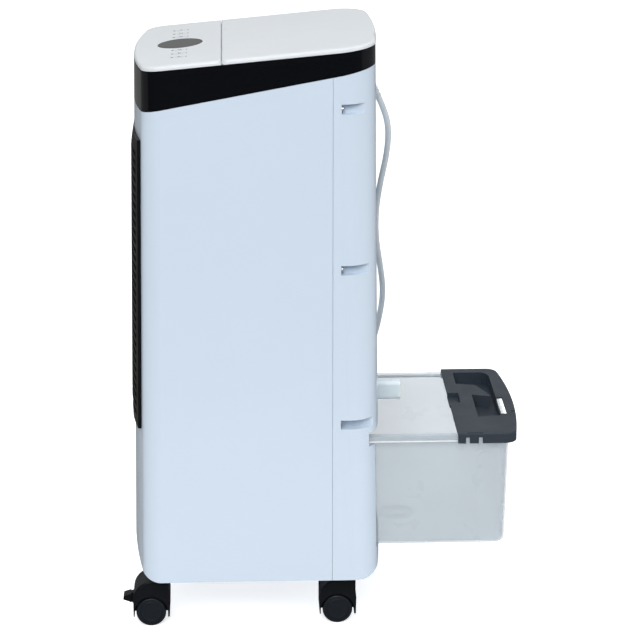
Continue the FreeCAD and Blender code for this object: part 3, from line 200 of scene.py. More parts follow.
# %% The moulded plastic recipe
NOISE_LOW, NOISE_HIGH = 0.3, 0.7
SLOW_SCALE, PATCH_SCALE, SWELL_SCALE = 9.0, 28.0, 16.0
GLOSS_DRIFT = 0.15
COAT_ROUGH = 0.04


def blank(name):
    """A new material, with its node tree, its shader and the piece's own coordinates."""
    material = bpy.data.materials.new(name)
    material.use_nodes = True
    tree = material.node_tree
    coordinates = tree.nodes.new("ShaderNodeTexCoord")
    return material, tree, tree.nodes["Principled BSDF"], coordinates.outputs["Object"]


def noise(tree, where, scale, detail=3.0):
    """A noise whose features are about 1/scale metres across."""
    node = tree.nodes.new("ShaderNodeTexNoise")
    node.inputs["Scale"].default_value = scale
    node.inputs["Detail"].default_value = detail
    tree.links.new(where, node.inputs["Vector"])
    return node.outputs["Fac"]


def spread(tree, source, low, high):
    """Stretches a noise, which seldom leaves its middle range, over the range from low to high."""
    return ranged(tree, source, (NOISE_LOW, NOISE_HIGH), (low, high))


def tinted(tree, source, colour, shift):
    """Mixes a darker and a lighter shade of one colour by a 0-1 value."""
    darker = [channel * (1 - shift) for channel in colour]
    lighter = [min(1.0, channel * (1 + shift)) for channel in colour]
    return mixed(tree, source, darker, lighter)


def bumped(tree, source, shader, depth):
    """Raises the surface by a height value, depth in metres."""
    node = tree.nodes.new("ShaderNodeBump")
    node.inputs["Distance"].default_value = depth
    node.inputs["Strength"].default_value = 1.0
    tree.links.new(source, node.inputs["Height"])
    tree.links.new(node.outputs["Normal"], shader.inputs["Normal"])
    return node


def plastic(name, colour, rough, shift=0.03, grain=0.00002, grain_scale=2600, ripple=0.0, coat=0.0,
            shine=0.5):
    """Moulded plastic whose colour and gloss drift slowly.

    shift is how far the colour drifts, grain and ripple are heights in metres, grain_scale is the
    number of grains to a metre, coat is a clear gloss over all and shine the strength of mirroring.
    """
    material, tree, shader, where = blank(name)
    slow = noise(tree, where, SLOW_SCALE)
    patch = noise(tree, where, PATCH_SCALE, 5.0)
    fine = noise(tree, where, grain_scale, 2.0)
    tree.links.new(tinted(tree, slow, colour, shift), shader.inputs["Base Color"])
    gloss = spread(tree, patch, rough * (1 - GLOSS_DRIFT), min(1.0, rough * (1 + GLOSS_DRIFT)))
    tree.links.new(gloss, shader.inputs["Roughness"])
    skin = bumped(tree, fine, shader, grain)
    if ripple:
        wave = bumped(tree, noise(tree, where, SWELL_SCALE, 1.0), shader, ripple)
        tree.links.new(wave.outputs["Normal"], skin.inputs["Normal"])
        tree.links.new(skin.outputs["Normal"], shader.inputs["Normal"])
    shader.inputs["Specular IOR Level"].default_value = shine
    shader.inputs["Coat Weight"].default_value = coat
    shader.inputs["Coat Roughness"].default_value = COAT_ROUGH
    return material


# %% The plastics
TOP_WHITE = (0.665, 0.700, 0.730)
casing = plastic("casing_gloss", (0.590, 0.682, 0.790), 0.20, shift=0.012, grain=0.000006, ripple=0.00012,
                 coat=0.25)
top_finish = plastic("top_satin", TOP_WHITE, 0.42, shift=0.012, grain=0.000012, grain_scale=3200)
band_finish = plastic("band_gloss", (0.004, 0.0045, 0.006), 0.10, shift=0.10, grain=0.000003,
                      ripple=0.00008)
grille_finish = plastic("grille_satin", (0.0045, 0.0052, 0.0062), 0.40, shift=0.10, grain=0.000010,
                        shine=0.12)
cover_finish = plastic("cover_slate", (0.027, 0.038, 0.052), 0.46, shift=0.05, grain=0.000020,
                       grain_scale=2200, shine=0.42)
inner_finish = plastic("inner_matt", (0.50, 0.53, 0.56), 0.55, shift=0.04)
key_finish = plastic("key_satin", TOP_WHITE, 0.38, shift=0.012, grain=0.000008, grain_scale=3600)
lens_finish = plastic("lens_smoked", (0.012, 0.014, 0.016), 0.06, shift=0.05, grain=0.000001, shine=0.42)
nylon = plastic("caster_nylon", (0.0050, 0.0062, 0.0084), 0.38, shift=0.10, grain=0.000020,
                grain_scale=1800, shine=0.18)
wheel_nylon = plastic("wheel_nylon", (0.0090, 0.0125, 0.0175), 0.42, shift=0.08, grain=0.000020,
                      grain_scale=1800, shine=0.25)
fan_finish = plastic("fan_white", (0.62, 0.64, 0.66), 0.45)
# The latch is painted far lighter than its own colour, near white, as painted light that makes up for the
# shade it sits in at the back of the casing.
latch_painted_light = plastic("latch_gloss_painted_light", (0.84, 0.94, 0.99), 0.26, shift=0.02)
lead_finish = plastic("lead_pvc", (0.640, 0.700, 0.740), 0.40, grain=0.000030, grain_scale=1500)
plug_finish = plastic("plug_pvc", (0.620, 0.680, 0.720), 0.36, grain=0.000020, grain_scale=1700)
mark_finish = plastic("print_grey", (0.150, 0.160, 0.175), 0.50, shift=0.06)
# The bead's near-white colour is a painted highlight on the tank's rolled edge.
bead_highlight_paint = plastic("tank_bead_painted_highlight", (0.86, 0.90, 0.93), 0.30, shift=0.02, grain=0.000002, grain_scale=900)
print("plastics", len(bpy.data.materials))

# %% [markdown]
# ## The tank's translucent polypropylene
# The tank is milky: one wall lets a good half of the light through, and two or three walls in a row
# turn nearly grey. A Transparent shader mixed with the plastic gives that, because every wall that
# is crossed takes its share. The share grows at grazing angles, where there is more plastic to cross.

# %% Tank material
def milky(name, colour, rough, share):
    """Translucent moulding: share is how much of what lies behind one wall is hidden."""
    material = plastic(name, colour, rough, shift=0.015, grain=0.000001, grain_scale=900, ripple=0.00006)
    tree = material.node_tree
    clear = tree.nodes.new("ShaderNodeBsdfTransparent")
    clear.inputs["Color"].default_value = (0.93, 0.95, 0.965, 1)
    blend = tree.nodes.new("ShaderNodeMixShader")
    blend.inputs["Fac"].default_value = share
    tree.links.new(clear.outputs[0], blend.inputs[1])
    tree.links.new(tree.nodes["Principled BSDF"].outputs[0], blend.inputs[2])
    tree.links.new(blend.outputs[0], tree.nodes["Material Output"].inputs["Surface"])
    return material


tank_finish = milky("tank_milky", (0.57, 0.62, 0.655), rough=0.30, share=0.36)
hose_finish = milky("hose_milky", (0.66, 0.70, 0.72), rough=0.35, share=0.60)

# %% [markdown]
# ## Metal, circuit board, paper and mesh
# Zinc-plated screws and the motor cans are metal with faint brush lines: a noise stretched along
# one axis. The boards are green resin with copper tracks under it, drawn by a brick pattern.

# %% Metals
LINE_SCALE = 1500
LINE_STRETCH = 0.04


def metal(name, colour, rough, along):
    """Metal with brush lines along one axis."""
    material, tree, shader, where = blank(name)
    stretch = tree.nodes.new("ShaderNodeMapping")
    stretch.inputs["Scale"].default_value = [LINE_STRETCH if axis == along else 1.0 for axis in "XYZ"]
    tree.links.new(where, stretch.inputs["Vector"])
    lines = noise(tree, stretch.outputs["Vector"], LINE_SCALE, 2.0)
    tree.links.new(tinted(tree, lines, colour, 0.12), shader.inputs["Base Color"])
    tree.links.new(spread(tree, lines, rough * 0.8, rough * 1.3), shader.inputs["Roughness"])
    bumped(tree, lines, shader, 0.00001)
    shader.inputs["Metallic"].default_value = 1.0
    return material


zinc = metal("zinc_plate", (0.60, 0.60, 0.58), 0.34, "X")
motor_steel = metal("motor_can", (0.42, 0.43, 0.44), 0.38, "Z")
nickel = metal("nickel_pin", (0.70, 0.69, 0.66), 0.20, "Y")

# %% Circuit board
def board_material():
    """Green resin with lighter tracks and pads."""
    material = plastic("board_green", (0.012, 0.075, 0.030), 0.35, 0.10)
    tree = material.node_tree
    shader = tree.nodes["Principled BSDF"]
    coordinates = tree.nodes.new("ShaderNodeTexCoord")
    tracks = tree.nodes.new("ShaderNodeTexBrick")
    tracks.inputs["Scale"].default_value = 260
    tracks.inputs["Mortar Size"].default_value = 0.05
    tracks.inputs["Color1"].default_value = (0.010, 0.070, 0.028, 1)
    tracks.inputs["Color2"].default_value = (0.014, 0.090, 0.036, 1)
    tracks.inputs["Mortar"].default_value = (0.045, 0.160, 0.070, 1)
    tree.links.new(coordinates.outputs["Object"], tracks.inputs["Vector"])
    tree.links.new(tracks.outputs["Color"], shader.inputs["Base Color"])
    return material


board_green = board_material()

# %% Paper and mesh
def paper_material():
    """Resin-stiffened kraft paper: brown fibres, darker where it has been wet."""
    material, tree, shader, where = blank("pad_kraft")
    wet = noise(tree, where, 14.0, 5.0)
    fibre = noise(tree, where, 900.0, 6.0)
    tree.links.new(tinted(tree, wet, (0.235, 0.150, 0.075), 0.28), shader.inputs["Base Color"])
    bumped(tree, fibre, shader, 0.0002)
    shader.inputs["Roughness"].default_value = 0.85
    return material


def woven_material():
    """Nylon gauze: two crossed waves make the threads, lighter and higher than what is between."""
    material, tree, shader, where = blank("filter_gauze")
    waves = []
    for direction in ("X", "Z"):
        wave = tree.nodes.new("ShaderNodeTexWave")
        wave.bands_direction = direction
        wave.inputs["Scale"].default_value = 220
        tree.links.new(where, wave.inputs["Vector"])
        waves.append(wave.outputs["Fac"])
    threads = combined(tree, "MAXIMUM", *waves)
    tree.links.new(tinted(tree, threads, (0.045, 0.048, 0.052), 0.55), shader.inputs["Base Color"])
    bumped(tree, threads, shader, 0.0004)
    shader.inputs["Roughness"].default_value = 0.7
    return material


kraft = paper_material()
gauze = woven_material()
print("materials", len(bpy.data.materials))

# %% [markdown]
# ## Finishes on the machine's own nodes
# These nodes have their real shape already. Each one is given the finish of the real piece.

# %% Assign finishes
FINISHES = {
    casing: ["front_housing", "rear_housing", "intake_grille"],
    top_finish: ["control_panel", "top_lid"],
    band_finish: ["head_band"],
    grille_finish: ["outlet_grille"],
    cover_finish: ["tank_cover"],
    inner_finish: ["base_tray", "fill_well", "blower_housing", "pad_frame", "water_distributor", "feed_pipe",
                   "vane_link_bar"],
    key_finish: [name for name in nodes if name.endswith("_key")],
    lens_finish: ["display_window"],
    nylon: [name for name in nodes if name.endswith(("_caster_hood", "_brake_pedal"))]
           + ["caster_collars", "water_pump"],
    wheel_nylon: [name for name in nodes if name.endswith("_caster_wheels")],
    fan_finish: ["blower_wheel"] + [name for name in nodes if name.startswith("swing_vane_")],
    latch_painted_light: ["tank_latch"],
    tank_finish: ["tank_body"],
    hose_finish: ["pump_hose"],
    zinc: ["housing_screws", "lid_hinge_pins", "caster_stems"],
    motor_steel: ["blower_motor", "swing_motor"],
    nickel: ["plug_pins"],
    board_green: ["control_board", "power_board"],
    gauze: ["dust_filter"],
}
for finish, names in FINISHES.items():
    for name in names:
        for material_slot in nodes[name].material_slots:
            material_slot.material = finish
print("finished nodes", sum(len(names) for names in FINISHES.values()))

# %% [markdown]
# ## Tools for new pieces
# Most small parts of a machine are turned: a disc, drawn out ring by ring. `turned` does what a
# hand does in edit mode: it adds a filled circle, then extrudes and scales it again and again.
# Afterwards the piece is put in its place and its place is applied, so its origin is the world's.

# %% Helpers for modelling
def settle(obj, place):
    """Moves a piece to its place and bakes that place into its mesh."""
    obj.matrix_world = place @ obj.matrix_world
    only(obj)
    bpy.ops.object.transform_apply(location=True, rotation=True, scale=True)


def aimed(spot, way):
    """The place whose origin is at spot and whose Z points along way."""
    return Matrix.Translation(spot) @ way.to_track_quat("Z", "Y").to_matrix().to_4x4()


def rounded(obj, width, segments=2, angle=35):
    """Bevels the edges sharper than angle and smooths what is nearly flat."""
    only(obj)
    bevel = obj.modifiers.new("edge", "BEVEL")
    bevel.width = width
    bevel.segments = segments
    bevel.limit_method = "ANGLE"
    bevel.angle_limit = math.radians(angle)
    bpy.ops.object.modifier_apply(modifier=bevel.name)
    bpy.ops.object.shade_smooth_by_angle(angle=math.radians(angle + 5))
    return obj


def turned(name, rings, sides=48):
    """A solid turned about Z, closed at both ends.

    rings are (height, radius) pairs in millimetres, from the bottom up.
    """
    (height, radius), *others = [(height * MM, radius * MM) for height, radius in rings]
    bpy.ops.object.select_all(action="DESELECT")
    bpy.ops.mesh.primitive_circle_add(vertices=sides, radius=radius, fill_type="NGON",
                                      location=(0, 0, height))
    obj = bpy.context.object
    obj.name = name
    bpy.ops.object.transform_apply(location=True)
    bpy.ops.object.mode_set(mode="EDIT")
    bpy.ops.mesh.select_all(action="SELECT")
    for next_height, next_radius in others:
        rise = (0, 0, next_height - height)
        bpy.ops.mesh.extrude_region_move(TRANSFORM_OT_translate={"value": rise})
        grow = next_radius / radius
        bpy.ops.transform.resize(value=(grow, grow, 1), center_override=(0, 0, next_height))
        height, radius = next_height, next_radius
    bpy.ops.mesh.select_all(action="SELECT")
    bpy.ops.mesh.normals_make_consistent(inside=False)
    bpy.ops.object.mode_set(mode="OBJECT")
    return obj


def blocked(name, low, high):
    """A plain block between two corners, to be shaped further."""
    low, high = Vector(low), Vector(high)
    bpy.ops.object.select_all(action="DESELECT")
    bpy.ops.mesh.primitive_cube_add(size=1, location=(low + high) / 2)
    obj = bpy.context.object
    obj.name = name
    obj.scale = high - low
    bpy.ops.object.transform_apply(location=True, rotation=True, scale=True)
    return obj


def merged(name, pieces):
    """Joins pieces into one mesh under one name."""
    only(*pieces)
    if len(pieces) > 1:
        bpy.ops.object.join()
    obj = bpy.context.object
    obj.name = name
    obj.data.name = name
    return obj


def dressed(obj, material, body):
    """Gives a piece its finish and the body it rides on."""
    obj.data.materials.clear()
    obj.data.materials.append(material)
    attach(obj, body)
    print(obj.name, "rides on", body)


# %% [markdown]
# ## The mains lead
# The lead leaves the back of the casing under the head, swings out, falls in two loose bows and
# goes round the corner to the floor, where its spare length is wound into a coil behind the body.
# Its line is one NURBS curve. The route is a list of points given in millimetres. The coil's
# points come from a loop: two turns beside each other, two on top of them and the start of a fifth.

# %% The lead's route
LEAD = 7.5 * MM
LEAD_EXIT = Vector((-22.0, 151.4, 633.0)) * MM
LEAD_DOWN = Vector((0.0, math.sin(math.radians(30)), -math.cos(math.radians(30))))
ROUTE = [
    (-24.5, 160.2, 614.0), (-28.0, 165.6, 589.0), (-34.5, 163.6, 557.0), (-46.0, 157.4, 522.0),
    (-60.0, 152.6, 482.0), (-74.0, 153.6, 440.0), (-87.0, 160.6, 400.0), (-99.0, 165.6, 362.0),
    (-112.0, 161.5, 322.0), (-126.0, 152.5, 280.0), (-139.0, 143.0, 236.0), (-147.0, 135.0, 192.0),
    (-151.0, 129.0, 146.0), (-155.5, 121.5, 104.0), (-161.0, 111.5, 68.0), (-168.0, 98.0, 38.5),
    (-175.5, 81.0, 17.5), (-182.0, 62.5, 7.0),
]
COIL_CENTRE = Vector((-229.0, 60.0, 0.0)) * MM
COIL_TURNS = 4 + 4 / 9
POINTS_PER_TURN = 18
COIL_START = math.radians(-20)
LAYERS = [(42.6, 4.6), (34.6, 4.8), (34.9, 12.6), (42.4, 12.6), (42.0, 12.2)]


def layer_at(turn):
    """Radius and height of the lead after so many turns; it changes lane in the last sixth of each."""
    lane = int(turn)
    step = max(0.0, (turn - lane - 5 / 6) * 6)
    step = step * step * (3 - 2 * step)
    here, there = LAYERS[lane], LAYERS[min(lane + 1, len(LAYERS) - 1)]
    return [(a + (b - a) * step) * MM for a, b in zip(here, there)]


def coil_points():
    """The wound turns, clockwise from above."""
    points = []
    count = round(COIL_TURNS * POINTS_PER_TURN)
    for i in range(count + 1):
        turn = i / POINTS_PER_TURN
        radius, height = layer_at(turn)
        angle = COIL_START - turn * 2 * math.pi
        points.append(COIL_CENTRE + Vector((radius * math.cos(angle), radius * math.sin(angle), height)))
    return points


plug_low, plug_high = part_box("plug_body")
plug_axis = Vector(((plug_low.x + plug_high.x) / 2, 0, (plug_low.z + plug_high.z) / 2))
lead_end = [Vector((plug_axis.x - 0.8 * MM, plug_low.y - 9 * MM, plug_axis.z + 2.5 * MM)),
            Vector((plug_axis.x, plug_low.y + 3 * MM, plug_axis.z))]
lead_points = [LEAD_EXIT, *[Vector(point) * MM for point in ROUTE], *coil_points(), *lead_end]

# %% The lead's curve
curve = bpy.data.curves.new("mains_lead", "CURVE")
curve.dimensions = "3D"
curve.bevel_depth = LEAD / 2
curve.bevel_resolution = 5
curve.resolution_u = 8
curve.use_fill_caps = True
line = curve.splines.new("NURBS")
line.points.add(len(lead_points) - 1)
for spot, point in zip(line.points, lead_points):
    spot.co = (*point, 1.0)
line.order_u = 3
line.use_endpoint_u = True
lead = bpy.data.objects.new("mains_lead", curve)
bpy.context.scene.collection.objects.link(lead)
dressed(lead, lead_finish, "body")
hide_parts("power_cord", "cord_coil")

# %% [markdown]
# ## The bend relief
# Where the lead leaves the casing it runs through a soft boot, so that it can't be bent sharply.
# The boot is turned: a collar inside the wall, then a taper cut by ribs that let it flex.

# %% Bend relief
RELIEF_RIBS = 5
RELIEF_LONG = 24.0
RELIEF_WIDE = 6.3
RELIEF_TIP = 4.6
SOFT_EDGE = 0.18 * MM


def ribs(count, start, pitch, wide, taper, rib_end, swell, groove_end, groove_deep):
    """Rings of a ribbed sleeve: from each rib's foot, the rib and then the groove run to their ends."""
    rings = []
    for i in range(count):
        foot, radius = start + i * pitch, wide + i * taper
        rings += [(foot, radius), (foot + rib_end, radius + swell),
                  (foot + rib_end + 0.3, radius - groove_deep), (foot + groove_end, radius - groove_deep)]
    return rings


collar = [(-9, 5.0), (-9, 7.8), (-6, 7.8), (-6, RELIEF_WIDE), (0.4, RELIEF_WIDE)]
sleeve = ribs(RELIEF_RIBS, start=1.6, pitch=(RELIEF_LONG - RELIEF_TIP) / RELIEF_RIBS, wide=RELIEF_WIDE,
              taper=-0.36, rib_end=2.4, swell=-0.15, groove_end=3.7, groove_deep=1.3)
tip = [(RELIEF_LONG - 2.2, RELIEF_TIP), (RELIEF_LONG - 0.6, 4.4), (RELIEF_LONG, 4.0)]
relief = turned("bend_relief", collar + sleeve + tip)
settle(relief, aimed(LEAD_EXIT - LEAD_DOWN * RELIEF_LONG * MM, LEAD_DOWN))
rounded(relief, SOFT_EDGE, 1)
dressed(relief, plug_finish, "body")
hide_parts("cord_gland")

# %% [markdown]
# ## The plug
# A moulded two-pin plug: a rounded grip that is pinched at its middle and narrows to the lead, a flat
# face for the pins, and a ribbed neck over the lead. The grip is a block, cut into slices, pinched
# slice by slice and softened by subdivision. The neck is turned.

# %% The plug's grip
NECK_LONG = 19 * MM
WAIST, NARROWING, FLATTENING = 0.16, 0.30, 0.12

grip_low = plug_low + Vector((0, NECK_LONG, 0))
grip = blocked("plug_grip", grip_low, plug_high)
bpy.ops.object.mode_set(mode="EDIT")
bpy.ops.mesh.select_all(action="SELECT")
bpy.ops.mesh.subdivide(number_cuts=5)
bpy.ops.object.mode_set(mode="OBJECT")
long_way = plug_high.y - grip_low.y
for vertex in grip.data.vertices:
    share = (vertex.co.y - grip_low.y) / long_way
    pinch = 1 - WAIST * math.sin(math.pi * share) - NARROWING * (1 - share) ** 3
    vertex.co.x = plug_axis.x + (vertex.co.x - plug_axis.x) * pinch
    vertex.co.z = plug_axis.z + (vertex.co.z - plug_axis.z) * (1 - FLATTENING * (1 - share) ** 2)
soften = grip.modifiers.new("soften", "SUBSURF")
soften.levels = soften.render_levels = 2
only(grip)
bpy.ops.object.modifier_apply(modifier=soften.name)
bpy.ops.object.shade_smooth()

# %% The plug's neck
NECK_RIBS = 4
neck_rings = ribs(NECK_RIBS, start=1.2, pitch=4.4, wide=4.8, taper=0.45, rib_end=2.6, swell=0.2,
                  groove_end=4.0, groove_deep=0.8)
neck = turned("plug_neck", [(0, 3.2), (0, 4.4), *neck_rings, (20.5, 6.4), (24.0, 6.2)], 32)
settle(neck, aimed((plug_axis.x, plug_low.y, plug_axis.z), Vector((0, 1, 0))))
rounded(neck, SOFT_EDGE, 1)
plug = merged("mains_plug", [grip, neck])
dressed(plug, plug_finish, "body")
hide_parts("plug_body")

# %% [markdown]
# ## The tie round the coil
# A strap of hook-and-loop tape holds the turns together. It is a block with its two ends taken
# away, which leaves a band. Its top is lifted a little over the turns, its corners are rounded, and
# Solidify gives the band its thickness.

# %% Tie
TIE_ANGLE = math.radians(125)
TIE_REACH = 38.5 * MM
TIE_HALF, TIE_WIDE = 8.9 * MM, 11.0 * MM
TIE_BOTTOM, TIE_TOP = 0.9 * MM, 17.4 * MM
TIE_LIFT, TIE_CORNER, TIE_THICK = 0.6 * MM, 3.2 * MM, 0.9 * MM

tie = blocked("lead_tie", (-TIE_HALF, -TIE_WIDE / 2, TIE_BOTTOM), (TIE_HALF, TIE_WIDE / 2, TIE_TOP))
bpy.ops.object.mode_set(mode="EDIT")
bpy.ops.mesh.select_mode(type="FACE")
bpy.ops.mesh.select_all(action="DESELECT")
bpy.ops.object.mode_set(mode="OBJECT")
for face in tie.data.polygons:
    face.select = abs(face.normal.y) > 0.9
bpy.ops.object.mode_set(mode="EDIT")
bpy.ops.mesh.delete(type="FACE")
bpy.ops.mesh.select_mode(type="VERT")
bpy.ops.mesh.select_all(action="SELECT")
bpy.ops.mesh.subdivide(number_cuts=2)
bpy.ops.object.mode_set(mode="OBJECT")
for vertex in tie.data.vertices:
    if vertex.co.z > 14 * MM and abs(vertex.co.x) < 5 * MM:
        vertex.co.z += TIE_LIFT
rounded(tie, TIE_CORNER, 4, 60)
tape = tie.modifiers.new("tape", "SOLIDIFY")
tape.thickness = TIE_THICK
tape.offset = 0
only(tie)
bpy.ops.object.modifier_apply(modifier=tape.name)
tie_turn = Matrix.Rotation(TIE_ANGLE, 4, "Z")
settle(tie, Matrix.Translation(COIL_CENTRE) @ tie_turn @ Matrix.Translation((TIE_REACH, 0, 0)))
dressed(tie, grille_finish, "body")
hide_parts("cord_tie")

# %% [markdown]
# ## Marks on the control panel
# The keys carry small printed symbols, and a pair of smaller marks stands before and behind each.
# Print is thin but real, so every mark is a flat shape a tenth of a millimetre thick. The top
# slopes: the way a key is pressed gives the slope, and the key's own highest face gives the place.

# %% The sloping top
top_normal = -Vector(joints["power_key_press"]["axis"]).normalized()
top_turn = Matrix.Rotation(math.asin(-top_normal.y), 4, "X")
FACE_SLACK = 0.05 * MM
print("the top slopes by", round(math.degrees(math.asin(-top_normal.y)), 2), "degrees")


def top_spot(node):
    """The middle of a node's highest face, measured square to the sloping top."""
    points = [vertex.co for vertex in nodes[node].data.vertices]
    best = max(top_normal.dot(point) for point in points)
    top = [point for point in points if top_normal.dot(point) > best - FACE_SLACK]
    low = Vector([min(point[axis] for point in top) for axis in range(3)])
    high = Vector([max(point[axis] for point in top) for axis in range(3)])
    return (low + high) / 2


def on_top(node, shift=(0, 0, 0)):
    """Places a flat shape over a node, in the slope of the top; shift is in millimetres."""
    return Matrix.Translation(top_spot(node)) @ top_turn @ Matrix.Translation(Vector(shift) * MM)


# %% Flat shapes
MARK_THICK = 0.1


def flat_bar(length, width, x=0.0, y=0.0, turn=0.0):
    """A printed stroke; all sizes are in millimetres and turn in degrees."""
    bpy.ops.object.select_all(action="DESELECT")
    bpy.ops.mesh.primitive_plane_add(size=1)
    obj = bpy.context.object
    obj.scale = (length * MM, width * MM, 1)
    obj.rotation_euler = (0, 0, math.radians(turn))
    obj.location = (x * MM, y * MM, 0)
    bpy.ops.object.transform_apply(location=True, rotation=True, scale=True)
    return obj


def flat_dot(radius, x=0.0, y=0.0):
    """A printed dot."""
    bpy.ops.object.select_all(action="DESELECT")
    bpy.ops.mesh.primitive_circle_add(vertices=20, radius=radius * MM, fill_type="NGON",
                                      location=(x * MM, y * MM, 0))
    bpy.ops.object.transform_apply(location=True)
    return bpy.context.object


def flat_ring(outer, inner, sides=28):
    """A printed ring: a disc, inset, with the inner face taken away."""
    bpy.ops.object.select_all(action="DESELECT")
    bpy.ops.mesh.primitive_circle_add(vertices=sides, radius=outer * MM, fill_type="NGON")
    obj = bpy.context.object
    bpy.ops.object.mode_set(mode="EDIT")
    bpy.ops.mesh.select_mode(type="FACE")
    bpy.ops.mesh.select_all(action="SELECT")
    bpy.ops.mesh.inset(thickness=(outer - inner) * MM)
    bpy.ops.mesh.delete(type="FACE")
    bpy.ops.mesh.select_mode(type="VERT")
    bpy.ops.object.mode_set(mode="OBJECT")
    return obj


def printed(name, shapes, place, material, body, thick=MARK_THICK):
    """Joins flat shapes, thickens them upwards and lays them at a place."""
    obj = merged(name, shapes)
    bpy.ops.object.mode_set(mode="EDIT")
    bpy.ops.mesh.select_all(action="SELECT")
    bpy.ops.mesh.extrude_region_move(TRANSFORM_OT_translate={"value": (0, 0, thick * MM)})
    bpy.ops.mesh.select_all(action="SELECT")
    bpy.ops.mesh.normals_make_consistent(inside=False)
    bpy.ops.object.mode_set(mode="OBJECT")
    settle(obj, place)
    dressed(obj, material, body)


# %% The key symbols
def symbol_timer():
    """A clock face with two hands."""
    return [flat_ring(2.6, 2.0), flat_bar(0.55, 1.7, 0, 0.8), flat_bar(1.3, 0.55, 0.5, 0)]


def symbol_mode():
    """Three bars, the middle one shorter."""
    return [flat_bar(width, 0.7, 0, y) for width, y in ((4.8, 1.6), (3.4, 0.0), (4.8, -1.6))]


def symbol_swing():
    """Two chevrons that point away from each other."""
    strokes = [(-1.5, 0.75, 45), (-1.5, -0.75, -45), (1.5, 0.75, -45), (1.5, -0.75, 45)]
    return [flat_bar(2.2, 0.65, x, y, turn) for x, y, turn in strokes]


def symbol_power():
    """A ring with a stroke at its top."""
    return [flat_ring(2.5, 1.9), flat_bar(0.65, 2.4, 0, 1.7)]


def symbol_speed():
    """Three blades round a hub."""
    blades = [flat_dot(1.05, 1.45 * math.cos(a), 1.45 * math.sin(a))
              for a in (math.radians(90 + 120 * i) for i in range(3))]
    return [*blades, flat_ring(0.7, 0.3)]


def symbol_cool():
    """A star of three strokes."""
    return [flat_bar(5.0, 0.6, 0, 0, turn) for turn in (0, 60, 120)]


# %% Printing the marks
SYMBOLS = {"timer": symbol_timer, "mode": symbol_mode, "swing": symbol_swing, "power": symbol_power,
           "speed": symbol_speed, "cool": symbol_cool}
PANEL_DROP = -0.28
MARK_AWAY = 8.2
for word, draw in SYMBOLS.items():
    key = f"{word}_key"
    printed(f"{word}_symbol", draw(), on_top(key), mark_finish, key)
    lamp_place = on_top(key, (0, -MARK_AWAY, PANEL_DROP))
    printed(f"{word}_lamp_mark", [flat_dot(0.9), flat_ring(1.7, 1.35)], lamp_place, mark_finish, "body")
    ticks = [flat_bar(0.8, 0.8 + 0.5 * i, 1.6 * (i - 1), 0) for i in range(3)]
    level_place = on_top(key, (0, MARK_AWAY, PANEL_DROP))
    printed(f"{word}_level_mark", ticks, level_place, mark_finish, "body")

# %% [markdown]
# ## Wheel caps
# Each twin wheel is closed outside by a smooth pressed cap. One cap is turned and then copied to
# the eight wheel faces, each copy with a mesh of its own.

# %% Wheel caps
CAP_SUNK = 1.0 * MM
cap_rings = [(0.0, 9.0), (0.0, 13.7), (0.55, 13.7), (0.95, 13.2), (1.05, 12.4), (0.82, 12.0), (0.82, 8.0),
             (0.95, 3.0), (0.98, 0.4)]
pattern = turned("wheel_cap", cap_rings, 64)
rounded(pattern, 0.12 * MM, 1, 30)
for corner in ("front_left", "front_right", "rear_left", "rear_right"):
    low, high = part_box(f"{corner}_caster_wheels")
    middle = (low + high) / 2
    caps = []
    for side, edge in ((-1, low.x), (1, high.x)):
        cap = pattern.copy()
        cap.data = pattern.data.copy()
        bpy.context.scene.collection.objects.link(cap)
        spot = Vector((edge - side * CAP_SUNK, middle.y, middle.z))
        settle(cap, aimed(spot, Vector((side, 0, 0))))
        caps.append(cap)
    dressed(merged(f"{corner}_wheel_caps", caps), wheel_nylon, f"{corner}_wheels")
bpy.data.objects.remove(pattern)

# %% [markdown]
# ## The evaporative pad
# The pad is a stack of corrugated paper, flutes at 45 degrees one way and then the other. From
# outside only its wavy faces show, so a fine grid is waved along two slants and then thickened.

# %% Pad
pad_low, pad_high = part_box("cooling_pad")
pad_size = pad_high - pad_low
FLUTE = 7.0 * MM
WAVE = 1.3 * MM
SKIN_GAP = 0.4 * MM
GRID_ACROSS, GRID_UP = 108, 180

bpy.ops.object.select_all(action="DESELECT")
bpy.ops.mesh.primitive_grid_add(x_subdivisions=GRID_ACROSS, y_subdivisions=GRID_UP, size=1)
pad = bpy.context.object
pad.name = "paper_pad"
pad.scale = (pad_size.x, pad_size.z, 1)
pad.rotation_euler = (math.radians(90), 0, 0)
pad.location = ((pad_low.x + pad_high.x) / 2, pad_low.y + WAVE + SKIN_GAP, (pad_low.z + pad_high.z) / 2)
bpy.ops.object.transform_apply(location=True, rotation=True, scale=True)
slant = 2 * math.pi / (FLUTE * math.sqrt(2))
for vertex in pad.data.vertices:
    one = math.sin(slant * (vertex.co.x + vertex.co.z))
    other = math.sin(slant * (vertex.co.x - vertex.co.z))
    vertex.co.y += WAVE * max(one, other, key=abs)
core = pad.modifiers.new("depth", "SOLIDIFY")
core.thickness = pad_size.y - 2 * WAVE - 2 * SKIN_GAP
core.offset = 1.0 if pad.data.polygons[0].normal.y > 0 else -1.0
only(pad)
bpy.ops.object.modifier_apply(modifier=core.name)
dressed(pad, kraft, "body")
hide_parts("cooling_pad")
print("pad", [round(value, 4) for corner in (pad_low, pad_high) for value in corner])

# %% [markdown]
# ## Inside the tank
# Two moulded rings stiffen the tank's floor, and they show faintly through the wall. They are flat
# rings, thickened.

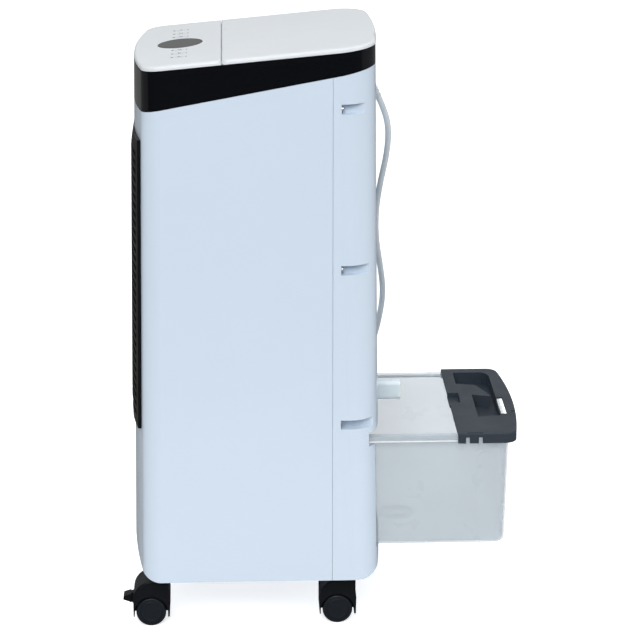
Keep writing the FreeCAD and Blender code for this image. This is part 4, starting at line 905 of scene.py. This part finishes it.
# %% Tank floor ring
tank_low, tank_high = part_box("tank_body")
FLOOR_WALL = 2.3 * MM
RING_PLACE = (8 * MM, 177 * MM, tank_low.z + FLOOR_WALL)
RING_THICK = 0.8
printed("tank_floor_ring", [flat_ring(20.5, 18.9, sides=64), flat_ring(12.0, 11.0, sides=48)],
        Matrix.Translation(RING_PLACE), tank_finish, "tank", thick=RING_THICK)

# %% [markdown]
# ## The tank's rolled edge
# The flange ends in a rolled bead, thicker than the wall. Its opaque, near-white colour, far lighter than
# the milky tank, is a painted highlight along both sides.

# %% Rolled edge
RIM_HALF = 115.6 * MM
BEAD_IN, BEAD_OUT = 0.3 * MM, 0.5 * MM
BEAD_TOP, BEAD_FOOT = 5.5 * MM, 6.9 * MM
BEAD_START, BEAD_END = 16 * MM, 241.5 * MM
BEAD_ROUND = 0.35 * MM

beads = []
for side in (-1, 1):
    edge = side * RIM_HALF
    inner, outer = sorted((edge - side * BEAD_IN, edge + side * BEAD_OUT))
    bead = blocked("bead", (inner, tank_low.y + BEAD_START, tank_high.z - BEAD_FOOT),
                   (outer, BEAD_END, tank_high.z - BEAD_TOP))
    beads.append(rounded(bead, BEAD_ROUND, 2))
dressed(merged("tank_edge_bead", beads), bead_highlight_paint, "tank")

# %% [markdown]
# ## The floor's paint
# The floor is white to the eye and grey in a mirror, so that black gloss stays black. A little glow,
# for the camera's own rays only, lifts it to the white of the sky without lighting the cooler.

# %% Floor finish
FLOOR_SEEN, FLOOR_MIRRORED, FLOOR_GLOW = 0.90, 0.19, 0.62
floor_paint, floor_tree, floor_shader, _ = blank("studio_floor")
floor_rays = floor_tree.nodes.new("ShaderNodeLightPath")
floor_shade = mixed(floor_tree, floor_rays.outputs["Is Glossy Ray"], [FLOOR_SEEN] * 3, [FLOOR_MIRRORED] * 3)
floor_glow = ranged(floor_tree, floor_rays.outputs["Is Camera Ray"], (0.0, 1.0), (0.0, FLOOR_GLOW))
floor_tree.links.new(floor_shade, floor_shader.inputs["Base Color"])
floor_tree.links.new(floor_glow, floor_shader.inputs["Emission Strength"])
floor_shader.inputs["Roughness"].default_value = 0.9
floor_shader.inputs["Specular IOR Level"].default_value = 0.0
floor_shader.inputs["Emission Color"].default_value = WHITE
floor.data.materials.append(floor_paint)
